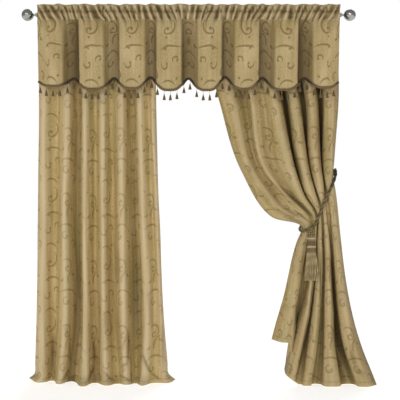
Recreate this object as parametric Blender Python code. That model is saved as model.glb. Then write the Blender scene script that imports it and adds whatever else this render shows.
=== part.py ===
"""Jacquard curtain set on one rod: scalloped valance, a straight panel and a tied-back panel.

Sizes are metres. X runs along the rod, -Y faces the room and +Z is up.
Heights in the tables are above the floor; the origin is the middle of the rod's axis.
"""
import math

import bmesh
import bpy
from mathutils import Vector

CLOTH = 0.002
GAP = 0.0003

ROD_HEIGHT = 2.065
ROD_RADIUS = 0.0125
ROD_HALF = 0.853
ROD_SIDES = 24

FINIAL_SIDES = 14
BALL_CENTRE = 0.908
BALL_RADIUS = 0.0334
# The turned foot of a finial: distance along the rod's axis from the middle, and radius.
FINIAL_FOOT = (
    ("face", 0.0000, 0.0095),
    ("collar_in", 0.0015, 0.0112),
    ("collar_out", 0.0080, 0.0112),
    ("neck_in", 0.0100, 0.0060),
    ("neck_out", 0.0195, 0.0056),
)
BALL_RINGS = 7

VALANCE_HALF = 0.848
VALANCE_TAPER = 0.981
GATHERS = 46
GATHER_DEPTH = 0.006
RUFFLE_RISE = 0.0590
RUFFLE_THICK = 0.0032
RUFFLE_WAVE = 0.0085
RUFFLE_EDGE_WAVE = 0.0022
FLANK = 0.020
CROWN = 0.16
# How round the arches of the hem are at their tops, as a share of the way to the middle of a
# lobe, and how fully the lobes hang between them.
ARCH_ROUND = 0.30
LOBE_FULL = 2.4

# Rod pocket: the outer and inner corners of its cloth, as depth and rise from the rod's axis,
# and how far each corner follows the gathers.
POCKET = (
    # corner, outer_depth, outer_rise, inner_depth, inner_rise, gather
    ("top_front", -0.0016, 0.0172, -0.0060, 0.0128, 0.0),
    ("front_high", -0.0165, 0.0096, -0.0145, 0.0060, 1.0),
    ("front_low", -0.0165, -0.0086, -0.0145, -0.0079, 1.0),
    ("bottom_front", -0.0040, -0.0225, -0.0050, -0.0186, 0.3),
    ("bottom_back", -0.0020, -0.0225, 0.0000, -0.0185, 0.3),
    ("back_low", 0.0160, -0.0086, 0.0140, -0.0078, 0.0),
    ("back_high", 0.0160, 0.0096, 0.0140, 0.0060, 0.0),
    ("top_back", 0.0016, 0.0172, 0.0060, 0.0128, 0.0),
)
POCKET_FRONT = 4

# Lobes of the valance: left and right edge, how far each stands forward, and its lowest height.
LOBES = (
    # name, left, right, forward, low
    ("lobe_1", -0.860, -0.700, 0.044, 1.640),
    ("lobe_2", -0.620, -0.468, 0.046, 1.633),
    ("lobe_3", -0.393, -0.236, 0.042, 1.637),
    ("lobe_4", -0.184, -0.036, 0.047, 1.625),
    ("lobe_5", 0.043, 0.190, 0.046, 1.625),
    ("lobe_6", 0.251, 0.400, 0.042, 1.633),
    ("lobe_7", 0.478, 0.620, 0.046, 1.630),
    ("lobe_8", 0.694, 0.860, 0.044, 1.640),
)
# Arches of the scalloped hem between the lobes: middle and top height.
ARCHES = (
    # name, x, top
    ("arch_left_end", -0.880, 1.702),
    ("arch_1", -0.655, 1.702),
    ("arch_2", -0.424, 1.697),
    ("arch_3", -0.216, 1.707),
    ("arch_4", 0.000, 1.693),
    ("arch_5", 0.209, 1.707),
    ("arch_6", 0.421, 1.697),
    ("arch_7", 0.660, 1.702),
    ("arch_right_end", 0.880, 1.702),
)
# Rows of the valance below its pocket: share of the drop, depth of the recesses,
# share of the lobes' forward reach, and share of the gathers left.
VALANCE_ROWS = (
    # name, drop, recess, reach, gather
    ("under_pocket", 0.08, 0.012, 0.50, 0.7),
    ("upper", 0.28, 0.022, 0.85, 0.2),
    ("middle", 0.62, 0.028, 1.08, 0.0),
    ("hem", 1.00, 0.031, 1.12, 0.0),
)

TRIM_HEIGHT = 0.0070
TRIM_HALF = 0.0030
TRIM_GAP = 0.0008
FRINGE_ROOT_INSET = 0.0010
FRINGE_ROOT_SHARE = 0.35
# A small tassel below the trim: drop and half width of each four-sided ring.
FRINGE_RINGS = (
    ("thread_top", 0.0030, 0.0012),
    ("thread_end", 0.0190, 0.0011),
    ("shoulder", 0.0220, 0.0044),
    ("skirt_end", 0.0490, 0.0086),
)

HEADER_TOP = 2.0710
HEADER_BAND = 2.0490
HEADER_DEPTH = 0.0160 + GAP + CLOTH / 2
GATHER_HEIGHT = 1.950
GATHER_FOLLOW = 0.30
GATHER_SHARE = 0.50
FOLD_STEPS = 4
FOLD_PULL = 1.35

# Folds of the straight panel, from its outer edge to its inner edge. Each row is one ridge,
# valley or edge: where it runs along the rod, and its depth, at five heights.
LEFT_HEIGHTS = {"hang": 1.60, "mid": 0.95, "low": 0.28, "break": 0.045, "hem": 0.003}
LEFT_FOLDS = (
    # name, head_x, hang_x, hang_d, mid_x, mid_d, low_x, low_d, break_x, break_d, hem_x, hem_d
    ("outer_edge", -0.844, -0.851, 0.034, -0.855, 0.030, -0.863, 0.022, -0.872, 0.030, -0.914, 0.066),
    ("ridge_1", -0.812, -0.818, -0.016, -0.815, -0.036, -0.818, -0.048, -0.812, -0.056, -0.822, -0.048),
    ("valley_1", -0.752, -0.746, 0.022, -0.750, 0.024, -0.762, 0.026, -0.772, 0.016, -0.772, 0.000),
    ("ridge_2", -0.694, -0.686, -0.017, -0.697, -0.038, -0.695, -0.050, -0.705, -0.074, -0.718, -0.088),
    ("valley_2", -0.638, -0.630, 0.066, -0.636, 0.062, -0.636, 0.052, -0.660, 0.006, -0.662, -0.016),
    ("ridge_3", -0.582, -0.582, -0.017, -0.580, -0.038, -0.574, -0.052, -0.570, -0.094, -0.574, -0.144),
    ("valley_3", -0.534, -0.534, 0.034, -0.533, 0.034, -0.527, 0.034, -0.524, -0.004, -0.522, -0.050),
    ("ridge_4", -0.482, -0.482, -0.017, -0.480, -0.036, -0.470, -0.048, -0.458, -0.084, -0.446, -0.122),
    ("valley_4", -0.438, -0.438, 0.034, -0.434, 0.036, -0.424, 0.030, -0.404, -0.026, -0.392, -0.074),
    ("ridge_5", -0.379, -0.378, -0.018, -0.372, -0.040, -0.360, -0.054, -0.346, -0.084, -0.336, -0.106),
    ("valley_5", -0.326, -0.326, 0.060, -0.316, 0.058, -0.298, 0.048, -0.296, -0.016, -0.296, -0.064),
    ("ridge_6", -0.272, -0.270, -0.016, -0.250, -0.036, -0.232, -0.048, -0.246, -0.088, -0.258, -0.122),
    ("valley_6", -0.224, -0.226, 0.020, -0.204, 0.016, -0.182, 0.002, -0.186, -0.036, -0.196, -0.058),
    ("inner_ridge", -0.201, -0.204, 0.000, -0.181, -0.006, -0.152, -0.012, -0.132, -0.038, -0.118, -0.054),
    ("inner_edge", -0.184, -0.186, 0.032, -0.167, 0.030, -0.137, 0.024, -0.117, 0.012, -0.076, 0.028),
)
LEFT_STEPS = {"header": 1, "gather": 1, "hang": 2, "mid": 1, "low": 2, "break": 2, "hem": 2}

# Folds of the tied-back panel, from its leading edge to its outer edge. Each row is one line of
# the cloth, followed down from the rod, in under the tie and on to the hem.
# Its three tables give place along the rod, depth and height at each stage.
RIGHT_UPPER = (
    # name, head_x, hang_x, hang_d, bend_x, bend_d, bend_h, sag_x, sag_d, sag_h
    ("leading_edge", 0.025, 0.168, 0.014, 0.297, -0.010, 1.184, 0.466, -0.032, 0.927),
    ("swag_belly", 0.103, 0.240, -0.016, 0.356, -0.052, 1.178, 0.511, -0.068, 0.972),
    ("swag_valley", 0.187, 0.318, 0.026, 0.396, -0.014, 1.200, 0.526, -0.044, 1.023),
    ("swag_ridge", 0.226, 0.348, -0.016, 0.420, -0.052, 1.200, 0.541, -0.070, 1.052),
    ("crease", 0.305, 0.422, 0.010, 0.484, -0.018, 1.200, 0.582, -0.030, 1.038),
    ("inner_ridge", 0.366, 0.484, -0.018, 0.562, -0.052, 1.200, 0.618, -0.056, 1.055),
    ("valley_1", 0.417, 0.537, 0.100, 0.612, 0.064, 1.178, 0.655, 0.026, 1.044),
    ("ridge_a", 0.467, 0.588, -0.018, 0.653, -0.038, 1.178, 0.684, -0.044, 1.061),
    ("valley_2", 0.529, 0.642, 0.100, 0.687, 0.064, 1.178, 0.713, 0.030, 1.072),
    ("ridge_b", 0.590, 0.693, -0.018, 0.720, -0.036, 1.178, 0.736, -0.042, 1.094),
    ("valley_3", 0.652, 0.741, 0.100, 0.753, 0.070, 1.188, 0.761, 0.034, 1.111),
    ("ridge_c", 0.738, 0.796, -0.018, 0.789, -0.036, 1.212, 0.792, -0.038, 1.139),
    ("outer_edge", 0.840, 0.851, 0.034, 0.824, 0.014, 1.246, 0.817, 0.008, 1.156),
)
RIGHT_TIE = (
    # name, tie_x, tie_d, tie_h, waist_x, waist_d, fall_x, fall_d
    ("leading_edge", 0.6425, -0.006, 0.864, 0.606, -0.019, 0.519, -0.038),
    ("swag_belly", 0.660, -0.030, 0.870, 0.626, -0.044, 0.554, -0.064),
    ("swag_valley", 0.671, -0.034, 0.883, 0.656, -0.040, 0.600, -0.056),
    ("swag_ridge", 0.681, -0.024, 0.896, 0.676, -0.006, 0.612, -0.010),
    ("crease", 0.691, -0.018, 0.913, 0.692, -0.002, 0.632, 0.022),
    ("inner_ridge", 0.703, -0.034, 0.928, 0.704, -0.036, 0.668, -0.050),
    ("valley_1", 0.713, -0.002, 0.948, 0.718, 0.012, 0.692, 0.022),
    ("ridge_a", 0.724, -0.034, 0.970, 0.732, -0.038, 0.714, -0.054),
    ("valley_2", 0.738, -0.002, 0.990, 0.754, 0.012, 0.750, 0.016),
    ("ridge_b", 0.751, -0.034, 1.012, 0.774, -0.038, 0.784, -0.054),
    ("valley_3", 0.771, 0.000, 1.038, 0.797, 0.022, 0.818, 0.062),
    ("ridge_c", 0.798, -0.030, 1.066, 0.828, -0.038, 0.868, -0.060),
    ("outer_edge", 0.828, 0.004, 1.083, 0.860, 0.008, 0.909, 0.004),
)
RIGHT_TAIL = (
    # name, low_x, low_d, low_h, hem_x, hem_d, hem_h
    ("leading_edge", 0.490, -0.044, 0.343, 0.463, -0.050, 0.245),
    ("swag_belly", 0.530, -0.072, 0.333, 0.510, -0.080, 0.234),
    ("swag_valley", 0.582, -0.062, 0.328, 0.560, -0.066, 0.223),
    ("swag_ridge", 0.589, -0.057, 0.256, 0.574, -0.062, 0.192),
    ("crease", 0.566, 0.016, 0.226, 0.540, -0.008, 0.062),
    ("inner_ridge", 0.626, -0.070, 0.235, 0.566, -0.100, 0.034),
    ("valley_1", 0.655, 0.010, 0.235, 0.608, -0.082, 0.003),
    ("ridge_a", 0.688, -0.084, 0.230, 0.650, -0.126, 0.003),
    ("valley_2", 0.735, -0.006, 0.225, 0.700, -0.074, 0.003),
    ("ridge_b", 0.781, -0.084, 0.225, 0.782, -0.146, 0.003),
    ("valley_3", 0.832, 0.050, 0.220, 0.886, -0.076, 0.003),
    ("ridge_c", 0.906, -0.090, 0.215, 0.964, -0.152, 0.003),
    ("outer_edge", 0.967, -0.016, 0.215, 1.040, -0.096, 0.003),
)
HANG_HEIGHT = 1.596
WAIST_HEIGHT = 0.785
FALL_HEIGHT = 0.437
RIGHT_STEPS = {"header": 1, "gather": 1, "hang": 2, "bend": 3, "sag": 3, "tie": 3,
               "waist": 2, "fall": 2, "low": 2, "hem": 2}

# Route of the tie: down from the hook over the front, round the gathered cloth and up behind it.
TIE_ROUTE = (
    # x, depth, height
    (0.8300, 0.0220, 1.1960),
    (0.8260, -0.0180, 1.1710),
    (0.8060, -0.0440, 1.1150),
    (0.7640, -0.0500, 1.0280),
    (0.7300, -0.0520, 0.9430),
    (0.7000, -0.0530, 0.8830),
    (0.6652, -0.0516, 0.8582),
    (0.6357, -0.0308, 0.8490),
    (0.6260, 0.0020, 0.8580),
    (0.6505, 0.0310, 0.8850),
    (0.7150, 0.0430, 0.9600),
    (0.7700, 0.0480, 1.0580),
    (0.8130, 0.0490, 1.1480),
    (0.8300, 0.0470, 1.1960),
)
TIE_RADIUS = 0.0072
TIE_PLY = 0.0020
TIE_LAY = 0.095
TIE_STEPS_A_TURN = 7
TIE_SIDES = 8

TASSEL_TOP = 0.8680
TASSEL_X = 0.6810
TASSEL_DEPTH = -0.0700
TASSEL_LEAN = 0.085
TASSEL_FLAT = 0.66
TASSEL_SIDES = 20
# Turned head of the large tassel: drop from its top and half width.
TASSEL_HEAD = (
    ("cap", 0.000, 0.0120),
    ("neck_top", 0.006, 0.0190),
    ("neck_bulge", 0.026, 0.0225),
    ("neck_end", 0.050, 0.0200),
    ("ring_1", 0.056, 0.0235),
    ("ring_1_end", 0.063, 0.0225),
    ("groove", 0.068, 0.0170),
    ("waist", 0.078, 0.0225),
    ("waist_end", 0.096, 0.0230),
    ("ring_2", 0.101, 0.0265),
    ("ring_2_end", 0.108, 0.0262),
    ("band", 0.130, 0.0270),
    ("head_end", 0.139, 0.0280),
)
SKIRT_WALL = 0.60
SKIRT_INSET = 0.90
# Locks of the skirt: drop from the tassel's top, how far they spread and how much each shrinks.
SKIRT_RINGS = (
    ("locks_mid", 0.215, 1.34, 1.22),
    ("locks_end", 0.292, 1.62, 1.42),
)


def clear_scene():
    for thing in list(bpy.data.objects):
        bpy.data.objects.remove(thing, do_unlink=True)


def principled(name, colour, roughness, metallic=0.0):
    """One plain material with a colour, a roughness and a metallic value."""
    material = bpy.data.materials.new(name)
    material.use_nodes = True
    shader = material.node_tree.nodes["Principled BSDF"]
    shader.inputs["Base Color"].default_value = (*colour, 1.0)
    shader.inputs["Roughness"].default_value = roughness
    shader.inputs["Metallic"].default_value = metallic
    return material


def jacquard():
    return principled("jacquard", (0.46, 0.35, 0.19), 0.72)


def trimming():
    return principled("trimming", (0.14, 0.09, 0.04), 0.80)


def tie_yarn():
    return principled("tie_yarn", (0.22, 0.15, 0.06), 0.70)


def pewter():
    return principled("pewter", (0.36, 0.35, 0.33), 0.28, 1.0)


def add_object(name, mesh, material):
    """Link a mesh to the scene as one named object."""
    thing = bpy.data.objects.new(name, mesh)
    bpy.context.scene.collection.objects.link(thing)
    mesh.materials.append(material)
    return thing


def mesh_from(name, points, faces, smooth_angle=math.radians(50)):
    """Mesh of the given points and faces, shaded smooth with its sharp edges kept."""
    mesh = bpy.data.meshes.new(name)
    mesh.from_pydata([tuple(point) for point in points], [], faces)
    mesh.shade_smooth()
    mesh.set_sharp_from_angle(angle=smooth_angle)
    return mesh


def place(x, depth, height):
    """A point given by its height above the floor."""
    return Vector((x, depth, height - ROD_HEIGHT))


def smooth_step(value):
    value = min(max(value, 0.0), 1.0)
    return value * value * (3.0 - 2.0 * value)


def tangents(points, pull):
    """Direction of travel at each point of a smooth curve, for a span of length one."""
    chords = [max((b - a).length, 1e-6) for a, b in zip(points, points[1:])]
    result = [(points[1] - points[0]) / chords[0]]
    for index in range(1, len(points) - 1):
        before = chords[index - 1]
        after = chords[index]
        arriving = (points[index] - points[index - 1]) / before
        leaving = (points[index + 1] - points[index]) / after
        result.append((arriving * after + leaving * before) * (pull / (before + after)))
    result.append((points[-1] - points[-2]) / chords[-1])
    return result, chords


def curve_through(points, steps, pull=1.0):
    """Points on a smooth curve through all points, with the given steps in each span."""
    if isinstance(steps, int):
        steps = [steps] * (len(points) - 1)
    slopes, chords = tangents(points, pull)
    result = []
    for index, count in enumerate(steps):
        start = points[index]
        end = points[index + 1]
        leave = slopes[index] * chords[index]
        arrive = slopes[index + 1] * chords[index]
        for step in range(count):
            t = step / count
            blend = t * t * (3.0 - 2.0 * t)
            out = t * (1.0 - t) * (1.0 - t)
            back = t * t * (t - 1.0)
            result.append(start.lerp(end, blend) + leave * out + arrive * back)
    result.append(points[-1].copy())
    return result


def draped_sheet(name, lines, steps, material):
    """A cloth sheet whose folds follow the given lines, from header to hem."""
    columns = [curve_through(line, steps) for line in lines]
    rows = [curve_through(list(row), FOLD_STEPS, FOLD_PULL) for row in zip(*columns)]
    width = len(rows[0])
    points = [point for row in rows for point in row]
    faces = []
    for row in range(len(rows) - 1):
        for column in range(width - 1):
            corner = row * width + column
            faces.append((corner, corner + width, corner + width + 1, corner + 1))
    sheet = add_object(name, mesh_from(name, points, faces, math.pi), material)
    thickness = sheet.modifiers.new("cloth_thickness", "SOLIDIFY")
    thickness.thickness = CLOTH
    thickness.offset = 0.0
    return sheet


def header_points(head_x, hang_x, hang_d):
    """Header band sewn flat behind the rod pocket, and the gathers that open below it."""
    gather_x = head_x + (hang_x - head_x) * GATHER_FOLLOW
    gather_d = HEADER_DEPTH + (hang_d - HEADER_DEPTH) * GATHER_SHARE
    return [
        place(head_x, HEADER_DEPTH, HEADER_TOP),
        place(head_x, HEADER_DEPTH, HEADER_BAND),
        place(gather_x, gather_d, GATHER_HEIGHT),
    ]


def make_left_panel():
    lines = []
    for _, head_x, hang_x, hang_d, *lower in LEFT_FOLDS:
        line = header_points(head_x, hang_x, hang_d)
        line.append(place(hang_x, hang_d, LEFT_HEIGHTS["hang"]))
        for stage, x, depth in zip(("mid", "low", "break", "hem"), lower[0::2], lower[1::2]):
            line.append(place(x, depth, LEFT_HEIGHTS[stage]))
        lines.append(line)
    return draped_sheet("panel_left", lines, list(LEFT_STEPS.values()), jacquard())


def make_right_panel():
    lines = []
    for upper, gathered, tail in zip(RIGHT_UPPER, RIGHT_TIE, RIGHT_TAIL):
        _, head_x, hang_x, hang_d, bend_x, bend_d, bend_h, sag_x, sag_d, sag_h = upper
        _, tie_x, tie_d, tie_h, waist_x, waist_d, fall_x, fall_d = gathered
        _, low_x, low_d, low_h, hem_x, hem_d, hem_h = tail
        line = header_points(head_x, hang_x, hang_d)
        line.append(place(hang_x, hang_d, HANG_HEIGHT))
        line.append(place(bend_x, bend_d, bend_h))
        line.append(place(sag_x, sag_d, sag_h))
        line.append(place(tie_x, tie_d, tie_h))
        line.append(place(waist_x, waist_d, WAIST_HEIGHT))
        line.append(place(fall_x, fall_d, FALL_HEIGHT))
        line.append(place(low_x, low_d, low_h))
        line.append(place(hem_x, hem_d, hem_h))
        lines.append(line)
    return draped_sheet("panel_right", lines, list(RIGHT_STEPS.values()), jacquard())


def lobe_reach(x):
    """How far the valance stands forward of its recesses at x."""
    reach = 0.0
    for _, left, right, forward, _ in LOBES:
        rise = smooth_step((x - left) / FLANK + 0.5) * smooth_step((right - x) / FLANK + 0.5)
        across = min(max((x - left) / (right - left), 0.0), 1.0)
        reach = max(reach, forward * rise * (1.0 - CROWN + CROWN * math.sin(math.pi * across)))
    return reach


def hem_height(x):
    """Height of the scalloped hem at x."""
    for lobe, start, end in zip(LOBES, ARCHES, ARCHES[1:]):
        if x <= end[1]:
            break
    half = (end[1] - start[1]) / 2
    arch = start if x < start[1] + half else end
    away = math.hypot((x - arch[1]) / half, ARCH_ROUND)
    near = max(1.0 - away, 0.0) / (1.0 - ARCH_ROUND)
    return lobe[4] + (arch[2] - lobe[4]) * near ** LOBE_FULL


def gather_at(share):
    """The gathers of the heading: one at each crest, zero in each hollow."""
    return 0.5 + 0.5 * math.cos(2.0 * math.pi * GATHERS * share)


def valance_row(row, shares):
    """Centre line of the valance cloth along one row below the pocket."""
    _, drop, recess, reach, gather = row
    top = ROD_HEIGHT + POCKET[POCKET_FRONT - 1][2]
    taper = 1.0 + (VALANCE_TAPER - 1.0) * drop
    line = []
    for share in shares:
        x = VALANCE_HALF * (2.0 * share - 1.0)
        depth = -recess - reach * lobe_reach(x) - gather * GATHER_DEPTH * gather_at(share)
        height = top + (hem_height(x) - top) * drop
        line.append(place(x * taper, depth, height))
    return line


def forward_normals(line):
    """Unit direction towards the room at each point, level and square to the line."""
    result = []
    for index in range(len(line)):
        along = line[min(index + 1, len(line) - 1)] - line[max(index - 1, 0)]
        result.append(Vector((along.y, -along.x, 0.0)).normalized())
    return result


def both_faces(line, half):
    """The front and back face of a sheet whose centre line is given."""
    normals = forward_normals(line)
    front = [point + normal * half for point, normal in zip(line, normals)]
    back = [point - normal * half for point, normal in zip(line, normals)]
    return front, back


def valance_shares():
    return [index / (2 * GATHERS) for index in range(2 * GATHERS + 1)]


def ruffle_faces(shares):
    """Front and back of the standing ruffle's top edge."""
    front = []
    back = []
    for share in shares:
        x = VALANCE_HALF * (2.0 * share - 1.0)
        crest = gather_at(share)
        depth = RUFFLE_WAVE * (1.0 - 2.0 * crest)
        height = ROD_HEIGHT + RUFFLE_RISE + RUFFLE_EDGE_WAVE * crest
        front.append(place(x, depth - RUFFLE_THICK / 2, height))
        back.append(place(x, depth + RUFFLE_THICK / 2, height))
    return front, back


def pocket_lines(shares):
    """Outer and inner lines of the rod pocket, corner by corner."""
    outer = []
    inner = []
    for _, outer_depth, outer_rise, inner_depth, inner_rise, gather in POCKET:
        shifts = [gather * GATHER_DEPTH * gather_at(share) for share in shares]
        xs = [VALANCE_HALF * (2.0 * share - 1.0) for share in shares]
        outer.append([Vector((x, outer_depth - shift, outer_rise)) for x, shift in zip(xs, shifts)])
        inner.append([Vector((x, inner_depth - shift, inner_rise)) for x, shift in zip(xs, shifts)])
    return outer, inner


def loft(lines, crossed=()):
    """Points and faces of a skin over lines that close on themselves, section by section.

    Strips listed as crossed start one corner on, which splits them along their other diagonal.
    The two walls of a sheet run opposite ways, so one is crossed to keep their folds alike.
    """
    count = len(lines)
    stations = len(lines[0])
    points = [line[station] for station in range(stations) for line in lines]
    faces = []
    for station in range(stations - 1):
        for index in range(count):
            a = station * count + index
            b = station * count + (index + 1) % count
            face = (a, b, b + count, a + count)
            faces.append(face[1:] + face[:1] if index in crossed else face)
    return points, faces


def make_valance():
    """Front sheet, rod pocket and standing ruffle as one length of cloth."""
    shares = valance_shares()
    outer, inner = pocket_lines(shares)
    ruffle_front, ruffle_back = ruffle_faces(shares)
    faces_of_rows = [both_faces(valance_row(row, shares), CLOTH / 2) for row in VALANCE_ROWS]
    fronts = [front for front, _ in faces_of_rows]
    backs = [back for _, back in faces_of_rows]
    skin = outer[:POCKET_FRONT] + fronts + backs[::-1] + outer[POCKET_FRONT:]
    skin += [ruffle_back, ruffle_front]
    points, faces = loft(skin, range(POCKET_FRONT + len(fronts), len(skin) - 2))
    hollow, hollow_faces = loft(inner, range(POCKET_FRONT))
    first = len(points)
    points += hollow
    faces += [tuple(first + index for index in face[::-1]) for face in hollow_faces]
    faces += valance_ends(len(skin), len(inner), len(shares), first)
    return add_object("valance", mesh_from("valance", points, faces), jacquard())


def valance_ends(skin, corners, stations, first):
    """The cut edges at both ends: a ring round the pocket, the sheet and the ruffle."""
    sheet_rows = len(VALANCE_ROWS)
    ring = list(range(POCKET_FRONT)) + list(range(POCKET_FRONT + 2 * sheet_rows, skin - 2))
    pairs = [(POCKET_FRONT - 1, POCKET_FRONT + 2 * sheet_rows)]
    for row in range(sheet_rows):
        pairs.append((POCKET_FRONT + row, POCKET_FRONT + 2 * sheet_rows - 1 - row))
    quads = [(a[0], b[0], b[1], a[1]) for a, b in zip(pairs, pairs[1:])]
    quads.append((skin - 1, 0, skin - 3, skin - 2))
    faces = []
    for station, turned in ((0, False), (stations - 1, True)):
        base = station * skin
        hollow = first + station * corners
        ends = [tuple(base + index for index in quad) for quad in quads]
        for corner in range(corners):
            following = (corner + 1) % corners
            ends.append((base + ring[corner], base + ring[following],
                         hollow + following, hollow + corner))
        faces += [end if turned else end[::-1] for end in ends]
    return faces


def extrude_each(body, faces):
    """Extrude faces one by one, and give the new ones back in the same order."""
    places = [face.calc_center_median() for face in faces]
    grown = bmesh.ops.extrude_discrete_faces(body, faces=faces)["faces"]
    centres = {face: face.calc_center_median() for face in grown}
    return [min(grown, key=lambda face: (centres[face] - place).length) for place in places]


def square_ring(face, centre, half, drop):
    """Move a four-sided face that looks down to a level square of the given half width."""
    first = face.verts[0].co - centre
    quarter = math.floor(math.atan2(first.y, first.x) / (math.pi / 2)) + 0.5
    for index, corner in enumerate(face.verts):
        angle = (quarter - index) * math.pi / 2
        corner.co.x = centre.x + math.copysign(half, math.cos(angle))
        corner.co.y = centre.y + math.copysign(half, math.sin(angle))
        corner.co.z = centre.z - drop


def fringe_roots(body, spans):
    """A small face in the middle of the trim's underside, for each tassel's thread."""
    body.faces.ensure_lookup_table()
    bottoms = [body.faces[span * 4 + 1] for span in range(0, spans, 2)]
    bmesh.ops.inset_individual(body, faces=bottoms, thickness=FRINGE_ROOT_INSET)
    centres = [face.calc_center_median() for face in bottoms]
    for face, centre in zip(bottoms, centres):
        for corner in face.verts:
            corner.co = centre + (corner.co - centre) * FRINGE_ROOT_SHARE
    return bottoms, centres


def make_fringe():
    """The cord trim below the valance's hem, with its row of small tassels."""
    shares = valance_shares()
    hem = [point - Vector((0.0, 0.0, TRIM_GAP)) for point in valance_row(VALANCE_ROWS[-1], shares)]
    down = Vector((0.0, 0.0, TRIM_HEIGHT))
    top_front, top_back = both_faces(hem, CLOTH / 2)
    low_front, low_back = both_faces([point - down for point in hem], TRIM_HALF)
    # Every strip is crossed, so the trim is split along the same diagonal as the hem above it.
    points, faces = loft([top_front, low_front, low_back, top_back], range(4))
    last = len(points) - 4
    faces.append((3, 2, 1, 0))
    faces.append((last, last + 1, last + 2, last + 3))
    mesh = mesh_from("valance_fringe", points, faces)
    body = bmesh.new()
    body.from_mesh(mesh)
    bottoms, centres = fringe_roots(body, len(shares) - 1)
    for _, drop, half in FRINGE_RINGS:
        bottoms = extrude_each(body, bottoms)
        for face, centre in zip(bottoms, centres):
            square_ring(face, centre, half, drop)
    body.to_mesh(mesh)
    body.free()
    return add_object("valance_fringe", mesh, trimming())


def make_rod():
    body = bmesh.new()
    bmesh.ops.create_cone(body, cap_ends=True, segments=ROD_SIDES, radius1=ROD_RADIUS,
                          radius2=ROD_RADIUS, depth=2 * ROD_HALF)
    mesh = bpy.data.meshes.new("rod")
    body.to_mesh(mesh)
    body.free()
    mesh.shade_smooth()
    mesh.set_sharp_from_angle(angle=math.radians(50))
    rod = add_object("rod", mesh, pewter())
    rod.rotation_euler = (0.0, math.pi / 2, 0.0)
    return rod


def finial_profile():
    """Half section of a finial, as distance from the rod's end face and radius."""
    profile = [(along, radius) for _, along, radius in FINIAL_FOOT]
    centre = BALL_CENTRE - ROD_HALF - GAP
    neck = FINIAL_FOOT[-1][2]
    first = math.pi - math.asin(neck / BALL_RADIUS)
    for ring in range(1, BALL_RINGS + 1):
        angle = first * (1.0 - ring / (BALL_RINGS + 1))
        profile.append((centre + BALL_RADIUS * math.cos(angle), BALL_RADIUS * math.sin(angle)))
    return profile, centre + BALL_RADIUS


def make_finial(name, side):
    """A turned ball finial whose face meets the rod's end."""
    profile, tip = finial_profile()
    points = []
    for along, radius in profile:
        for index in range(FINIAL_SIDES):
            angle = 2.0 * math.pi * index / FINIAL_SIDES
            points.append(Vector((along, radius * math.cos(angle), radius * math.sin(angle))))
    points.append(Vector((tip, 0.0, 0.0)))
    faces = [tuple(range(FINIAL_SIDES - 1, -1, -1))]
    for ring in range(len(profile) - 1):
        for index in range(FINIAL_SIDES):
            a = ring * FINIAL_SIDES + index
            b = ring * FINIAL_SIDES + (index + 1) % FINIAL_SIDES
            faces.append((a, b, b + FINIAL_SIDES, a + FINIAL_SIDES))
    last = (len(profile) - 1) * FINIAL_SIDES
    for index in range(FINIAL_SIDES):
        faces.append((last + index, last + (index + 1) % FINIAL_SIDES, len(points) - 1))
    finial = add_object(name, mesh_from(name, points, faces), pewter())
    finial.location = (side * (ROD_HALF + GAP), 0.0, 0.0)
    if side < 0:
        finial.rotation_euler = (0.0, 0.0, math.pi)
    return finial


def even_points(points, count):
    """Resample a route into count equal steps along its length."""
    lengths = [0.0]
    for a, b in zip(points, points[1:]):
        lengths.append(lengths[-1] + (b - a).length)
    result = []
    span = 0
    for step in range(count + 1):
        target = lengths[-1] * step / count
        while span < len(points) - 2 and lengths[span + 1] < target:
            span += 1
        share = (target - lengths[span]) / (lengths[span + 1] - lengths[span])
        result.append(points[span].lerp(points[span + 1], share))
    return result, lengths[-1]


def make_tie():
    """The tie: a two-ply twisted rope whose plies show as two ridges turning along it."""
    route = curve_through([place(*point) for point in TIE_ROUTE], 12)
    _, length = even_points(route, 2)
    count = round(length / TIE_LAY * TIE_STEPS_A_TURN)
    centres, _ = even_points(route, count)
    points = []
    side = Vector((0.0, 1.0, 0.0))
    for index, centre in enumerate(centres):
        ahead = (centres[min(index + 1, count)] - centres[max(index - 1, 0)]).normalized()
        side = (side - ahead * side.dot(ahead)).normalized()
        up = ahead.cross(side)
        turn = 2.0 * math.pi * index / TIE_STEPS_A_TURN
        for corner in range(TIE_SIDES):
            angle = 2.0 * math.pi * corner / TIE_SIDES
            radius = TIE_RADIUS + TIE_PLY * math.cos(2.0 * angle)
            outward = side * math.cos(angle + turn) + up * math.sin(angle + turn)
            points.append(centre + outward * radius)
    faces = [tuple(range(TIE_SIDES - 1, -1, -1))]
    for ring in range(count):
        for corner in range(TIE_SIDES):
            a = ring * TIE_SIDES + corner
            b = ring * TIE_SIDES + (corner + 1) % TIE_SIDES
            faces.append((a, b, b + TIE_SIDES, a + TIE_SIDES))
    faces.append(tuple(range(count * TIE_SIDES, (count + 1) * TIE_SIDES)))
    return add_object("tieback_rope", mesh_from("tieback_rope", points, faces), tie_yarn())


def tassel_ring(drop, radius):
    """One oval ring of the large tassel at a drop from its top."""
    centre = place(TASSEL_X, TASSEL_DEPTH - TASSEL_LEAN * drop, TASSEL_TOP - drop)
    ring = []
    for index in range(TASSEL_SIDES):
        angle = 2.0 * math.pi * index / TASSEL_SIDES
        across = radius * math.cos(angle)
        forward = TASSEL_FLAT * radius * math.sin(angle)
        ring.append(centre + Vector((across, forward, 0.0)))
    return ring


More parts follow.
